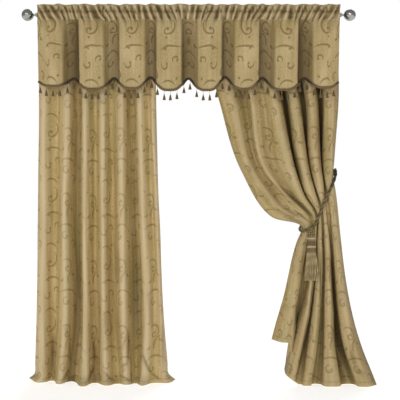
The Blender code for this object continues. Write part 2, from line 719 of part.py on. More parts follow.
def make_tassel():
    """The large tassel: a turned head with two rings, and a skirt of separate locks."""
    rings = [tassel_ring(drop, radius) for _, drop, radius in TASSEL_HEAD]
    _, end_drop, end_radius = TASSEL_HEAD[-1]
    rings.append(tassel_ring(end_drop, end_radius * SKIRT_WALL))
    points = [point for ring in rings for point in ring]
    faces = [tuple(range(TASSEL_SIDES))]
    for ring in range(len(rings) - 1):
        for index in range(TASSEL_SIDES):
            a = ring * TASSEL_SIDES + index
            b = ring * TASSEL_SIDES + (index + 1) % TASSEL_SIDES
            faces.append((a, a + TASSEL_SIDES, b + TASSEL_SIDES, b))
    last = (len(rings) - 1) * TASSEL_SIDES
    faces.append(tuple(range(last + TASSEL_SIDES - 1, last - 1, -1)))
    mesh = mesh_from("tieback_tassel", points, faces)
    body = bmesh.new()
    body.from_mesh(mesh)
    body.faces.ensure_lookup_table()
    first_lock = 1 + (len(rings) - 2) * TASSEL_SIDES
    locks = [body.faces[first_lock + index] for index in range(TASSEL_SIDES)]
    grow_locks(body, locks, end_drop)
    body.to_mesh(mesh)
    body.free()
    return add_object("tieback_tassel", mesh, tie_yarn())


def grow_locks(body, locks, start):
    """Grow one tapering lock of yarn from each face under the tassel's head."""
    locks = extrude_each(body, locks)
    roots = []
    for face in locks:
        centre = face.calc_center_median()
        offsets = [(corner.co - centre) * SKIRT_INSET for corner in face.verts]
        roots.append((centre, offsets))
        for corner, offset in zip(face.verts, offsets):
            corner.co = centre + offset - Vector((0.0, 0.0, GAP))
    root_y = TASSEL_DEPTH - TASSEL_LEAN * start
    for _, drop, spread, swell in SKIRT_RINGS:
        locks = extrude_each(body, locks)
        axis_y = TASSEL_DEPTH - TASSEL_LEAN * drop
        height = TASSEL_TOP - drop - ROD_HEIGHT
        for face, (centre, offsets) in zip(locks, roots):
            out_x = (centre.x - TASSEL_X) * spread
            out_y = (centre.y - root_y) * spread
            middle = Vector((TASSEL_X + out_x, axis_y + out_y, height))
            for corner, offset in zip(face.verts, offsets):
                corner.co = middle + offset * swell


def main():
    clear_scene()
    make_rod()
    make_finial("finial_left", -1)
    make_finial("finial_right", 1)
    make_valance()
    make_fringe()
    make_left_panel()
    make_right_panel()
    make_tie()
    make_tassel()


main()
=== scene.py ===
"""Looks of a jacquard curtain set: scalloped valance, straight panel and tied-back panel on a rod."""
import math

import bpy
import numpy as np
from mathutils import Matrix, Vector


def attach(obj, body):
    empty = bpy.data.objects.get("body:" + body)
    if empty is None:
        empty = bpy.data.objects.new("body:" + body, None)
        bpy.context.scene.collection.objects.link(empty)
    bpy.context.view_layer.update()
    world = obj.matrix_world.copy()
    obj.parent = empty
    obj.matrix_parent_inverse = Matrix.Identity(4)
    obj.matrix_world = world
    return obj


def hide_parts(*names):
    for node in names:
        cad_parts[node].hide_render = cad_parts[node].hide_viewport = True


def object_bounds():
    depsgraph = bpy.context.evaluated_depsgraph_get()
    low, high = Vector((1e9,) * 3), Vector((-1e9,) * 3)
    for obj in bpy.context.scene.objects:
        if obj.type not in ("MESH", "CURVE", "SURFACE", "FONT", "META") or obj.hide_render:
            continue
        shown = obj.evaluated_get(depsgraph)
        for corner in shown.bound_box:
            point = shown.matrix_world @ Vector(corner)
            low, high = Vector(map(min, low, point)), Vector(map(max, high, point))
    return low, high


bl_info = {
    "name": "Jacquard Curtain Set",
    "version": (1, 0, 0),
    "blender": (4, 5, 0),
    "location": "View3D > Sidebar > Curtain",
    "description": "Scalloped valance, straight panel and tied-back panel in jacquard on one rod",
    "category": "Add Mesh",
}

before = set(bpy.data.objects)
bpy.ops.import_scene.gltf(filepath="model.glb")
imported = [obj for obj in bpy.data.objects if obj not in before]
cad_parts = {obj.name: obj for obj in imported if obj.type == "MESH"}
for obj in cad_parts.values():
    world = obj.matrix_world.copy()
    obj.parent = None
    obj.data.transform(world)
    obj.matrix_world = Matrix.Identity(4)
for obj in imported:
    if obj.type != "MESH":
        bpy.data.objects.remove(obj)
CAD_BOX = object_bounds()
FLOOR = CAD_BOX[0][2]

TURN = 2.0 * math.pi
ROD_HEIGHT = 2.065
CAMERA = (0.0638, -4.53, -1.043)
# How far off the camera sees the front of the folds, and how wide its view is there.
VIEW_DISTANCE = 4.5
VIEW_WIDTH = 2.24
SENSOR = 36.0
ROD_HALF = 0.853
BALL_CENTRE = 0.908
BALL_RADIUS = 0.0334
BALL_NECK = 0.0078
BALL_RINGS = 20

PANEL_FLAT = (1.32, 2.13)
VALANCE_FLAT = (2.45, 0.56)
VALANCE_HALF = 0.848
VALANCE_TAPER = 0.981
COLUMNS_A_PUCKER = 14
CROWN = 0.16
# Each lobe turns softly on the side that faces this place, and lobe_4, which spans it, on neither.
SOFT_TOWARDS = -0.1
SOFT_FLANK = 0.036
RUFFLE_FLARE = 0.008
# Above the rod's axis: the seam under the ruffle, and a line of painted shade spots just below it.
SEAM_RISE = 0.019
PINCH_SHADE_RISE = 0.014
PINCH_SHADE_WIDTH = 0.006
# How round the arches of the hem are at their tops, as a share of the way to the middle of a
# lobe, and how fully the lobes hang between them.
ARCH_ROUND = 0.30
LOBE_FULL = 3.0
HEADER_DEPTH = 0.0173
HEADER_TOP = 2.0710
HEADER_BAND = 2.0490
GATHER_HEIGHT = 1.950
GATHER_FOLLOW = 0.30
GATHER_SHARE = 0.50
GATHER_FADE = 0.03
HEM_FOLD = 0.026
STITCH_HALF = 0.0028
PUCKER_PITCH = 0.036
PUCKER_DEPTH = 0.0065
# Soft waves in the cloth: how many, the shortest and the longest across it, and how many times as
# long they are down it.
VALANCE_WAVES = (7, 0.05, 0.20, 5.0)
SOFT_WAVES = (9, 0.05, 0.22, 7.0)
FINE_WAVES = (7, 0.02, 0.06, 9.0)
# How many columns away a fold still darkens the cloth behind it with painted shade, in the valance
# and in a panel, and how many away it dims the painted sheen on a panel's crests.
VALANCE_REACH = 30
PANEL_REACH = 14
CREST_REACH = 12
# Depth behind the lobes at which the valance's painted shade is darkest.
LOBE_HOLLOW = 0.050
# Rows below the pocket over which the painted shade of the recesses comes in, over which it is
# darker by a share just under the pocket, and that still have the painted sheen of the pocket's puckers.
SHADE_ROWS = 4.0
DARK_ROWS = 8.0
DARKER = 0.30
SHEEN_ROWS = 6
# How strong the painted sheen is on the pocket's puckers and on the skirt.
POCKET_SHEEN = 1.9
SKIRT_SHEEN = 0.40


def metres(table, shares=0):
    """A table of named rows whose lengths are written in millimetres.

    As many of its last columns as shares says aren't lengths, and stay as they are.
    """
    rows = []
    for name, *values in table:
        count = len(values) - shares
        rows.append((name, *(value / 1000 for value in values[:count]), *values[count:]))
    return tuple(rows)


# Section of the heading, from its back hem over the standing ruffle to the foot of the pocket:
# rise and depth from the rod's axis, how far each row follows the ruffle's wave and the puckers,
# how dark the painted shade in its hollows is, and how much of the lobes' reach it has.
HEADING = metres((
    # row, rise, depth, wave, pucker, shade, reach
    ("back_hem", -22.5, 1.2, 0.0, 0.0, 0.3, 0.0),
    ("back_low", -9.5, 15, 0.0, 0.0, 0.3, 0.0),
    ("back_high", 5, 15, 0.0, 0.0, 0.3, 0.0),
    ("seam_back", 19, 1.4, 0.1, 0.0, 0.3, 0.0),
    ("ruffle_back", 39, 1.8, 0.6, 0.0, 0.3, 0.0),
    ("edge_back", 58, 1.3, 1.0, 0.0, 0.2, 0.0),
    ("edge", 60, 0, 1.0, 0.0, 0.3, 0.0),
    ("edge_front", 58, -1.3, 1.0, 0.2, 0.5, 0.0),
    ("ruffle_front", 39, -2.6, 0.6, 0.8, 1.0, 0.0),
    ("seam_front", 19, -6.6, 0.15, 0.7, 1.0, 0.0),
    ("front_high", 6, -14.8, 0.0, 1.0, 0.9, 0.05),
    ("front_low", -9, -15, 0.0, 1.0, 0.9, 0.22),
    ("seam_low", -21.5, -10, 0.0, 0.9, 1.0, 0.45),
), shares=4)
# Rows of the skirt below the pocket: share of the drop, recess, forward reach and puckers left.
SKIRT = (
    # row, drop, recess, reach, pucker
    ("top", 0.00, 0.010, 0.45, 0.90),
    ("under_pocket", 0.07, 0.012, 0.74, 0.60),
    ("upper", 0.26, 0.020, 0.94, 0.14),
    ("middle", 0.62, 0.027, 1.08, 0.00),
    ("hem", 1.00, 0.031, 1.12, 0.00),
)
# Rows that are added between one row of the heading or the skirt and the next.
HEADING_SPAN = 3
SKIRT_SPAN = 9
LOBES = metres((
    # name, left, right, forward, low
    ("lobe_1", -860, -700, 44, 1658),
    ("lobe_2", -620, -468, 46, 1641),
    ("lobe_3", -393, -236, 42, 1645),
    ("lobe_4", -184, -36, 47, 1635),
    ("lobe_5", 43, 190, 46, 1635),
    ("lobe_6", 251, 400, 42, 1642),
    ("lobe_7", 478, 620, 46, 1637),
    ("lobe_8", 694, 860, 44, 1650),
))
# The shade of an arch is how dark the painted shade is in the recess under it.
ARCHES = metres((
    # name, x, top, shade
    ("arch_left_end", -880, 1702, 1.0),
    ("arch_1", -655, 1706, 1.12),
    ("arch_2", -424, 1708, 0.72),
    ("arch_3", -216, 1712, 0.86),
    ("arch_4", 0, 1706, 0.84),
    ("arch_5", 209, 1715, 0.9),
    ("arch_6", 421, 1709, 0.9),
    ("arch_7", 660, 1708, 1.15),
    ("arch_right_end", 880, 1702, 1.0),
), shares=1)

# Folds of the straight panel from its outer to its inner edge, at five heights above the floor.
LEFT_HEIGHTS = (1.6, 0.95, 0.28, 0.045, 0.003)
LEFT_FOLDS = metres((
    # name, head_x, hang_x, hang_d, mid_x, mid_d, low_x, low_d, break_x, break_d, hem_x, hem_d
    ("outer_edge", -844, -851, 34, -855, 30, -863, 22, -872, 30, -914, 66),
    ("ridge_1", -812, -818, -16, -815, -36, -818, -48, -812, -56, -822, -48),
    ("valley_1", -752, -746, 22, -750, 24, -762, 26, -772, 16, -772, 0),
    ("ridge_2", -694, -686, -17, -697, -38, -695, -50, -705, -74, -718, -88),
    ("valley_2", -638, -630, 66, -636, 62, -636, 52, -660, 6, -662, -16),
    ("ridge_3", -582, -582, -17, -580, -38, -574, -52, -570, -94, -574, -144),
    ("valley_3", -534, -534, 34, -533, 34, -527, 34, -524, -4, -522, -50),
    ("ridge_4", -482, -482, -17, -480, -36, -470, -48, -458, -84, -446, -122),
    ("valley_4", -438, -438, 34, -434, 36, -424, 30, -404, -26, -392, -74),
    ("ridge_5", -379, -378, -18, -372, -40, -360, -54, -346, -84, -336, -106),
    ("valley_5", -326, -326, 60, -316, 58, -298, 48, -296, -16, -296, -64),
    ("ridge_6", -272, -270, -16, -250, -36, -232, -48, -246, -88, -258, -122),
    ("valley_6", -224, -226, 20, -204, 16, -182, 2, -186, -36, -196, -58),
    ("inner_ridge", -201, -204, 0, -181, -6, -152, -12, -132, -38, -118, -54),
    ("inner_edge", -184, -186, 32, -167, 30, -137, 24, -117, 12, -76, 28),
))
LEFT_STEPS = (2, 8, 24, 44, 46, 18, 10, 10)
# Where the straight fall of the folds ends, as a share of the way to their break at the floor.
KNEE = 0.76

# Lines of the tied-back panel from its leading to its outer edge, down to the swag.
RIGHT_UPPER = metres((
    # name, head_x, hang_x, hang_d, bend_x, bend_d, bend_h, sag_x, sag_d, sag_h
    ("leading_edge", 25, 168, 14, 297, -10, 1184, 466, -32, 927),
    ("swag_belly", 103, 240, -16, 356, -52, 1178, 511, -68, 972),
    ("swag_valley", 187, 318, 26, 396, -14, 1200, 526, -44, 1023),
    ("swag_ridge", 226, 348, -16, 420, -52, 1200, 541, -70, 1052),
    ("crease", 305, 422, 10, 484, -18, 1200, 582, -30, 1038),
    ("inner_ridge", 366, 484, -18, 562, -52, 1200, 618, -56, 1055),
    ("valley_1", 417, 537, 100, 612, 64, 1178, 655, 26, 1044),
    ("ridge_a", 467, 588, -18, 653, -38, 1178, 684, -44, 1061),
    ("valley_2", 529, 642, 100, 687, 64, 1178, 713, 30, 1072),
    ("ridge_b", 590, 693, -18, 720, -36, 1178, 736, -42, 1094),
    ("valley_3", 652, 741, 100, 753, 70, 1188, 761, 34, 1111),
    ("ridge_c", 738, 796, -18, 789, -36, 1212, 792, -38, 1139),
    ("outer_edge", 840, 851, 34, 824, 14, 1246, 817, 8, 1156),
))
# The same lines gathered under the tie.
RIGHT_TIE = metres((
    # name, tie_x, tie_d, tie_h, waist_x, waist_d, fall_x, fall_d
    ("leading_edge", 636.4, 0, 864, 606, -19, 519, -38),
    ("swag_belly", 660, -30, 870, 626, -44, 554, -64),
    ("swag_valley", 671, -34, 883, 656, -40, 600, -56),
    ("swag_ridge", 681, -24, 896, 676, -6, 612, -10),
    ("crease", 691, -18, 913, 692, -2, 632, 22),
    ("inner_ridge", 703, -34, 928, 704, -36, 668, -50),
    ("valley_1", 713, -2, 948, 718, 12, 692, 22),
    ("ridge_a", 724, -34, 970, 732, -38, 714, -54),
    ("valley_2", 738, -2, 990, 754, 12, 750, 16),
    ("ridge_b", 751, -34, 1012, 774, -38, 784, -54),
    ("valley_3", 771, 0, 1038, 797, 22, 818, 62),
    ("ridge_c", 798, -30, 1066, 828, -38, 868, -60),
    ("outer_edge", 828, 4, 1083, 860, 8, 909, 4),
))
# The same lines in the flared tail.
RIGHT_TAIL = metres((
    # name, low_x, low_d, low_h, hem_x, hem_d, hem_h
    ("leading_edge", 490, -44, 343, 463, -50, 245),
    ("swag_belly", 530, -72, 333, 510, -80, 234),
    ("swag_valley", 582, -62, 328, 560, -66, 223),
    ("swag_ridge", 589, -57, 256, 574, -62, 192),
    ("crease", 566, 16, 226, 540, -8, 62),
    ("inner_ridge", 626, -70, 235, 566, -100, 34),
    ("valley_1", 655, 10, 235, 608, -82, 3),
    ("ridge_a", 688, -84, 230, 650, -126, 3),
    ("valley_2", 735, -6, 225, 700, -74, 3),
    ("ridge_b", 781, -84, 225, 782, -146, 3),
    ("valley_3", 832, 50, 220, 886, -76, 3),
    ("ridge_c", 906, -90, 215, 964, -152, 3),
    ("outer_edge", 967, -16, 215, 1040, -96, 3),
))
# Creases pressed into the panels: where each starts and ends as seen from the front, how wide
# and deep it is, and how dark the painted shade along it is; one of no depth is only painted shade.
STRAIGHT_CREASES = metres((
    # name, x, height, end_x, end_height, half_width, depth, shade
    ("toe_1", -757, 270, -765, 36, 8, 10, 0.95),
    ("toe_1_end", -765, 40, -812, 8, 8, 4, 0.7),
    ("toe_2", -664, 230, -661, 81, 7.5, 8, 0.9),
    ("toe_2_end", -661, 90, -709, 2, 7.5, 4, 0.9),
    ("toe_3", -530, 240, -524, 92, 7.5, 10, 1.0),
    ("toe_3_end", -524, 105, -566, 0, 8, 5, 1.0),
    ("toe_4", -337, 290, -339, 104, 7, 10, 1.0),
    ("toe_4_end", -339, 112, -376, 87, 7, 3, 0.8),
    ("hem_fold_1", -479, 66, -425, 6, 8.5, 4, 0.65),
    ("hem_fold_2", -390, 44, -312, 3, 8, 4, 0.65),
    ("toe_5", -262, 165, -216, 55, 8, 8, 0.75),
    ("toe_5_end", -216, 62, -155, 12, 7.5, 4, 0.7),
    ("inner_dent", -150, 330, -142, 50, 7, 0, 0.6),
    ("outer_foot", -836, 46, -890, 24, 7.5, 0, 0.75),
    ("dent_low", -688, 330, -676, 250, 12, 5, 0.35),
    ("dent_middle", -470, 410, -462, 290, 13, 5, 0.35),
    ("dent_high", -402, 760, -396, 560, 12, 4, 0.3),
    ("dent_inner", -222, 520, -204, 300, 13, 5, 0.35),
), shares=1)
TIED_CREASES = metres((
    # name, x, height, end_x, end_height, half_width, depth, shade
    ("swag_long", 505, 1110, 694, 926, 7.5, 10, 0.8),
    ("swag_long_soft", 470, 1130, 640, 960, 20, 6, 0.22),
    ("swag_middle", 420, 1150, 520, 994, 14, 8, 0.34),
    ("swag_middle_end", 520, 994, 622, 924, 10, 7, 0.42),
    ("swag_low", 385, 1100, 467, 985, 13, 6, 0.28),
    ("swag_low_end", 467, 985, 590, 918, 9.5, 6, 0.4),
    ("swag_foot", 540, 925, 640, 892, 11, 0, 0.6),
    ("swag_break", 318, 1240, 372, 1120, 16, 6, 0.24),
    ("tie_fan_low", 585, 972, 676, 902, 5.5, 6, 0.7),
    ("tie_fan_high", 610, 1020, 700, 928, 6, 6, 0.6),
    ("flap_dent", 560, 640, 592, 770, 14, 6, 0.26),
    ("flap_hem", 490, 420, 560, 440, 18, 6, 0.16),
    ("tail_dent", 852, 560, 872, 420, 16, 6, 0.24),
    ("tail_loop", 905, 190, 930, 90, 20, 10, 0.34),
    ("tail_loop_end", 930, 90, 985, 45, 16, 8, 0.3),
    ("flap_shadow", 607, 460, 588, 225, 8, 0, 0.92),
    ("valley_1_high", 529, 1720, 570, 1310, 22.5, 0, 1.0),
    ("valley_1_bend", 564, 1380, 638, 1110, 16, 0, 1.0),
    ("valley_2_high", 639, 1740, 660, 1310, 25, 0, 0.7),
    ("valley_2_bend", 655, 1380, 696, 1110, 13, 0, 0.66),
    ("valley_3_high", 729, 1740, 745, 1180, 18.5, 0, 0.95),
    ("valley_1_low", 702, 600, 674, 355, 7, 0, 0.85),
    ("valley_1_foot", 676, 385, 616, 75, 8.5, 0, 0.9),
    ("valley_2_low", 741, 740, 736, 400, 6.5, 0, 0.85),
    ("valley_2_foot", 736, 420, 722, 170, 11, 0, 0.45),
    ("valley_3_low", 795, 720, 813, 370, 9, 0, 0.98),
    ("valley_3_foot", 812, 400, 826, 170, 11, 0, 0.85),
), shares=1)
HANG_HEIGHT = 1.596
WAIST_HEIGHT = 0.785
FALL_HEIGHT = 0.437
RIGHT_STEPS = (2, 8, 20, 34, 28, 20, 14, 26, 18, 20)
# A pleat deeper than this gets a shoulder and a heel on its wall. The shoulder stands at a share
# of the way from the ridge to the valley, given for each stage from the header to the hem, and the
# heel at a share of what is left. Each has its share of the depth.
DEEP_PLEAT = 0.06
SHOULDER_SUNK = 0.10
HEEL_SHARE = 0.45
HEEL_SUNK = 0.86
RIGHT_SHOULDERS = (0.4, 0.4, 0.45, 0.50, 0.66, 0.66, 0.5, 0.5, 0.5, 0.45, 0.4)

# Soft lamps far off: how far each stands to the right of the view and above the level, in
# degrees, how soft its shadow is, and its strength.
LAMPS = (
    # name, turn, rise, spread, strength
    ("key", -20.0, 12.0, 16.0, 0.52),
    ("front", 0.0, 6.0, 24.0, 0.46),
    ("back", 170.0, 30.0, 30.0, 0.8),
)
AMBIENT = 0.36

TIE_ROUTE = (
    # x, depth, height
    (0.83, 0.022, 1.196),
    (0.826, -0.018, 1.171),
    (0.806, -0.044, 1.115),
    (0.764, -0.05, 1.028),
    (0.73, -0.052, 0.943),
    (0.7, -0.053, 0.883),
    (0.6652, -0.0516, 0.8582),
    (0.6357, -0.0308, 0.849),
    (0.626, 0.002, 0.858),
    (0.6505, 0.031, 0.885),
    (0.715, 0.043, 0.96),
    (0.77, 0.048, 1.058),
    (0.813, 0.049, 1.148),
    (0.83, 0.047, 1.196),
)
TASSEL_TOP = 0.8680
TASSEL_X = 0.6810
TASSEL_DEPTH = -0.0700
TASSEL_LEAN = 0.085
TASSEL_FLAT = 0.66
SKIRT_START = 0.134
SKIRT_END = 0.289
# One full turn of the plies along the rope and the trim, and the step between their rings.
ROPE_LAY = 0.072
ROPE_STEP = 0.0026
TRIM_LAY = 0.019
TRIM_STEP = 0.0032
# Radius of the rope in its grooves, as a share of its diameter, and the length over which its
# twist fades at each end.
ROPE_CORE = 0.37
ROPE_END = 0.03
THREAD_DROPS = (0.0, 0.006, 0.013, 0.0185)
THREAD_RADIUS = 0.0012
# Below this drop the bell of a small tassel is ridged.
BELL_WAIST = 0.007

# Strokes of the woven scroll, each an arc on the flat cloth: its centre, its radius and its half
# width, the angle of its middle and half its sweep in degrees, and how far it swells towards its
# end. The middle of the repeat lies at the middle of a lobe of the valance.
REPEAT = (VALANCE_FLAT[0] / len(LOBES), 0.377)
SCROLLS = metres((
    # name, x, y, radius, half_width, middle, half_sweep, swell
    ("hook", -12, 335, 48, 4.6, -27, 80, -0.3),
    ("hook_curl", -14, 302, 15.5, 4, 180, 105, -0.2),
    ("hook_eye", -7, 315, 0, 8.2, 0, 180, 0.0),
    ("bud_under_hook", -18, 268, 0, 5.8, 0, 180, 0.0),
    ("wide_arc", 12, 126, 100, 4.6, 90, 40, 0.3),
    ("arc_leaf", -34, 200, 14, 7, 60, 62, 0.4),
    ("small_c", 39, 150, 17, 4, 105, 105, -0.2),
    ("small_c_eye", 52, 145, 0, 6, 0, 180, 0.0),
    ("low_c", -31, 124, 20, 4.2, -90, 105, 0.2),
    ("low_c_eye", -15, 131, 0, 6.2, 0, 180, 0.0),
    ("low_bud", 46, 51, 0, 6.4, 0, 180, 0.0),
    ("hem_arc", -7, -5, 49, 4.2, 80, 60, 0.3),
    ("side_arc", 150, 60, 100, 4.6, 92, 38, -0.3),
    ("side_hook", 142, 300, 36, 4.4, 30, 105, 0.3),
    ("side_hook_curl", 150, 282, 14, 3.8, 200, 105, 0.2),
    ("side_eye", 152, 293, 0, 6.8, 0, 180, 0.0),
    ("side_c", 138, 98, 20, 4.2, 200, 130, 0.3),
    ("side_c_eye", 148, 92, 0, 6.2, 0, 180, 0.0),
    ("left_spray", -98, 215, 60, 4.4, 150, 48, 0.5),
    ("left_leaf", -105, 262, 18, 6.6, 250, 58, -0.4),
    ("left_curl", -100, 45, 22, 4.2, 20, 120, 0.3),
    ("left_curl_eye", -94, 40, 0, 5.8, 0, 180, 0.0),
    ("right_leaf", 98, 226, 17, 6.6, 300, 60, 0.4),
    ("right_bud", 94, 352, 0, 5.6, 0, 180, 0.0),
    ("left_bud", -88, 130, 0, 5.2, 0, 180, 0.0),
), shares=3)

# Grain of the cloth on its flat map: how often it changes across, along and through, its detail
# and its roughness.
GRAINS = {
    "streak": ((52.0, 2.6, 1.0), 4.0, 0.55),
    "mottle": ((9.0, 4.0, 1.0), 2.0, 0.55),
    "slub": ((30.0, 900.0, 1.0), 2.0, 0.55),
    "cast": ((17.0, 0.9, 1.0), 3.0, 0.55),
    "fleck": ((120.0, 85.0, 1.0), 4.0, 0.70),
    "reverse_slub": ((40.0, 500.0, 1.0), 3.0, 0.55),
    "reverse_mottle": ((7.0, 3.0, 1.0), 2.0, 0.55),
}
# Colours of each yarn with their gain, its grain and roughness, and the heights above the floor
# between which it darkens. The hollows colour also gives the painted shade in the grooves, and the
# glints colour the painted glints on the crests.
YARNS = {
    # name: body, gain, hollows, gain, glints, gain, grain, roughness, darkens
    "trim_yarn": ("trim", 1.00, "trim", 0.20, "trim", 1.6, (420.0, 420.0, 90.0), 0.72, (1.650, 1.688)),
    "fringe_yarn": ("fringe", 1.00, "fringe", 0.30, "fringe", 1.1, (420.0, 420.0, 90.0), 0.72, ()),
    "fringe_thread": ("rope", 1.00, "fringe", 1.00, "ring", 1.0, (420.0, 420.0, 90.0), 0.72, ()),
    "tie_rope_yarn": ("rope", 0.75, "rope", 0.20, "rope", 1.6, (260.0, 260.0, 260.0), 0.62, (1.04, 1.16)),
    "tassel_yarn": ("rope", 1.00, "rope", 0.30, "rope", 2.2, (300.0, 300.0, 300.0), 0.66, ()),
    "ring_yarn": ("ring", 1.00, "ring", 0.50, "ring", 1.3, (420.0, 420.0, 90.0), 0.72, ()),
    "skirt_yarn": ("strands", 1.00, "strands", 0.45, "strands", 1.5, (380.0, 380.0, 60.0), 0.62, ()),
}
# Profiles of the rod's end, of a finial's foot, of a small tassel and of the large tassel's head.
ROD_END = metres((
    # name, inset, radius
    ("end", 0, 10.5), ("edge", 1.5, 12.2), ("wall", 4, 12.5),
))
BELL = metres((
    # name, drop, radius
    ("knot", 0, 1.6), ("shoulder", 1, 3), ("neck", 3.2, 4),
    ("neck_low", 5.2, 3.4), ("waist", 6.2, 2.6), ("mouth", 8.2, 4.2),
    ("bell", 14, 5.6), ("bell_low", 22, 7.2), ("cut", 30, 8.6),
))
FINIAL_FOOT = metres((
    # name, along, radius
    ("face", 0.3, 8), ("face_edge", 0.6, 9.8), ("collar_in", 2, 11.2),
    ("collar_out", 7.8, 11.2), ("step", 9.4, 9.8), ("neck_in", 10.6, 6.4),
    ("neck_waist", 15, 5.4), ("neck_out", 20, 6.6),
))
TASSEL_HEAD = metres((
    # name, drop, radius
    ("cap", 0, 9), ("crown", 4, 13), ("neck", 12, 15),
    ("neck_low", 46, 15), ("under_ring", 56, 19), ("groove", 67, 16.5),
    ("body", 75, 20.5), ("body_low", 94, 21.2), ("under_ring_2", 103, 21.5),
    ("band", 112, 24.5), ("band_low", 134, 26.2), ("foot", 139, 24),
))
# Cords that run round the head both ways, over and under each other in the plait of the neck and
# plain in the net of the band: where they start and how far they fall, how wide they run, bulge,
# widen and weave, how thick they are, how many start round it, their points and sweep in degrees.
TASSEL_CORDS = metres((
    # name, top, fall, half_width, bulge, widening, over, radius, starts, points, sweep
    ("plait", 4, 49, 13.8, 3.6, 0, 1.6, 4.7, 4, 26, 150),
    ("net", 110, 27, 25.2, 0, 2, 0, 1.3, 22, 9, 34),
), shares=3)
TASSEL_WINDING = metres((
    # name, drop, half_width
    ("turn_1", 75.5, 21.2), ("turn_2", 79.5, 21.2), ("turn_3", 83.5, 21.2),
    ("turn_4", 87.5, 21.2), ("turn_5", 91.5, 21.2), ("turn_6", 95.5, 21.2),
))
TASSEL_RINGS = metres((
    # name, drop, half_width
    ("upper", 57, 21), ("upper_low", 60.5, 21.2),
    ("lower", 103.5, 23.8), ("lower_low", 106.5, 24.2),
))
TASSEL_LAYERS = (
    # name, strands, top, spread, radius
    ("outer", 52, 0.0232, 1.62, 0.0020),
    ("inner", 36, 0.0165, 1.55, 0.0022),
)


def length_setting(label, use, value):
    return bpy.props.FloatProperty(name=label, description=use, default=value, unit="LENGTH")


def colour_setting(label, use, value):
    return bpy.props.FloatVectorProperty(
        name=label, description=use, default=value, subtype="COLOR", size=3)


class CurtainSizes(bpy.types.PropertyGroup):
    cloth: length_setting("Cloth", "Thickness of the jacquard", 0.0016)
    tassels: bpy.props.IntProperty(
        name="Tassels", description="Small tassels along the scallops", default=46)
    puckers: bpy.props.IntProperty(
        name="Puckers", description="Fine puckers along the pocket", default=46)
    gather_depth: length_setting("Gather Depth", "Depth of the puckers on the pocket", 0.0150)
    ruffle_wave: length_setting("Ruffle Wave", "How far the ruffle's edge weaves to and fro", 0.0085)
    flank: length_setting("Flank", "Width of a lobe's turned side", 0.015)
    wrinkle: length_setting("Wrinkles", "Height of the cloth's soft wrinkles", 0.0024)
    trim: length_setting("Trim", "Radius of the cord along the scallops", 0.0074)
    rope: length_setting("Rope", "Diameter of the tie's rope", 0.0180)


class CurtainColours(bpy.types.PropertyGroup):
    ground: colour_setting("Ground", "Jacquard's ground", (0.410, 0.298, 0.112))
    light: colour_setting("Light Threads", "Pale threads of the ground", (0.580, 0.442, 0.222))
    olive: colour_setting("Olive Cast", "Olive streaks of the ground", (0.335, 0.268, 0.088))
    russet: colour_setting("Russet Cast", "Warmer streaks of the ground", (0.440, 0.292, 0.118))
    scroll: colour_setting("Scroll", "Woven scroll", (0.190, 0.132, 0.044))
    # Painted sheen: a highlight painted along the crests of the folds.
    crest: colour_setting("Fold Crest", "Satin along the crests of the folds", (0.640, 0.510, 0.310))
    shade: colour_setting("Fold Shade", "Cloth deep between the folds", (0.085, 0.052, 0.016))
    trim: colour_setting("Trim", "Dark trim of the scallops", (0.200, 0.132, 0.060))
    fringe: colour_setting("Fringe", "Small tassels", (0.125, 0.085, 0.038))
    rope: colour_setting("Rope", "Tie rope and tassel", (0.185, 0.132, 0.056))
    strands: colour_setting("Skirt Strands", "Cut strands of the tie's tassel", (0.440, 0.335, 0.165))
    ring: colour_setting("Rings", "Pale rings of the tassel", (0.62, 0.49, 0.32))
    pewter: colour_setting("Pewter", "Rod and finials", (0.38, 0.375, 0.355))
    floor: colour_setting("Floor", "Plain floor", (0.90, 0.90, 0.89))


def sizes():
    return bpy.context.scene.curtain_sizes


def colours():
    return bpy.context.scene.curtain_colours


def place(x, depth, height):
    """A point given by its height above the floor."""
    return (x, depth, height - ROD_HEIGHT)


def step(value):
    """A smooth step from 0 to 1, held at both ends."""
    value = np.clip(value, 0.0, 1.0)
    return value * value * (3.0 - 2.0 * value)


def through(stages, steps, pull=1.0):
    """Smooth curves through rows of points, along the first axis of the array."""
    hops = np.diff(stages, axis=0)
    chords = np.maximum(np.linalg.norm(hops, axis=2, keepdims=True), 1e-6)
    headings = hops / chords
    slopes = np.empty_like(stages)
    slopes[0] = headings[0]
    slopes[-1] = headings[-1]
    before = chords[:-1]
    after = chords[1:]
    slopes[1:-1] = (headings[:-1] * after + headings[1:] * before) * (pull / (before + after))
    if isinstance(steps, int):
        steps = [steps] * len(hops)
    rows = []
    for span, count in enumerate(steps):
        t = (np.arange(count) / count)[:, None, None]
        leave = slopes[span] * chords[span] * (t * (1.0 - t) ** 2)
        arrive = slopes[span + 1] * chords[span] * (t * t * (t - 1.0))
        rows.append(stages[span] * (1.0 - step(t)) + stages[span + 1] * step(t) + leave + arrive)
    rows.append(stages[-1:])
    return np.concatenate(rows)


def waves(across, along, seed, count, shortest, longest, stretch):
    """Soft irregular waves over the flat cloth, longer down it than across it, from -1 to 1."""
    random = np.random.default_rng(seed)
    total = np.zeros(across.shape)
    for _ in range(count):
        length = random.uniform(shortest, longest)
        lean = random.uniform(-1.0, 1.0) / stretch
        phase = random.uniform(0.0, TURN)
        total += np.sin(TURN * (across + along * lean) / length + phase)
    return total / count * 1.6


def grid_normals(points):
    """Unit normals of a grid of points whose rows run down and whose columns run along."""
    normals = np.cross(np.gradient(points, axis=0), np.gradient(points, axis=1))
    return normals / np.maximum(np.linalg.norm(normals, axis=2, keepdims=True), 1e-9)


def distances(points):
    """Distance of each point from the first, along the line through them all."""
    hops = np.linalg.norm(np.diff(points, axis=0), axis=1)
    return np.concatenate([[0.0], np.cumsum(hops)])


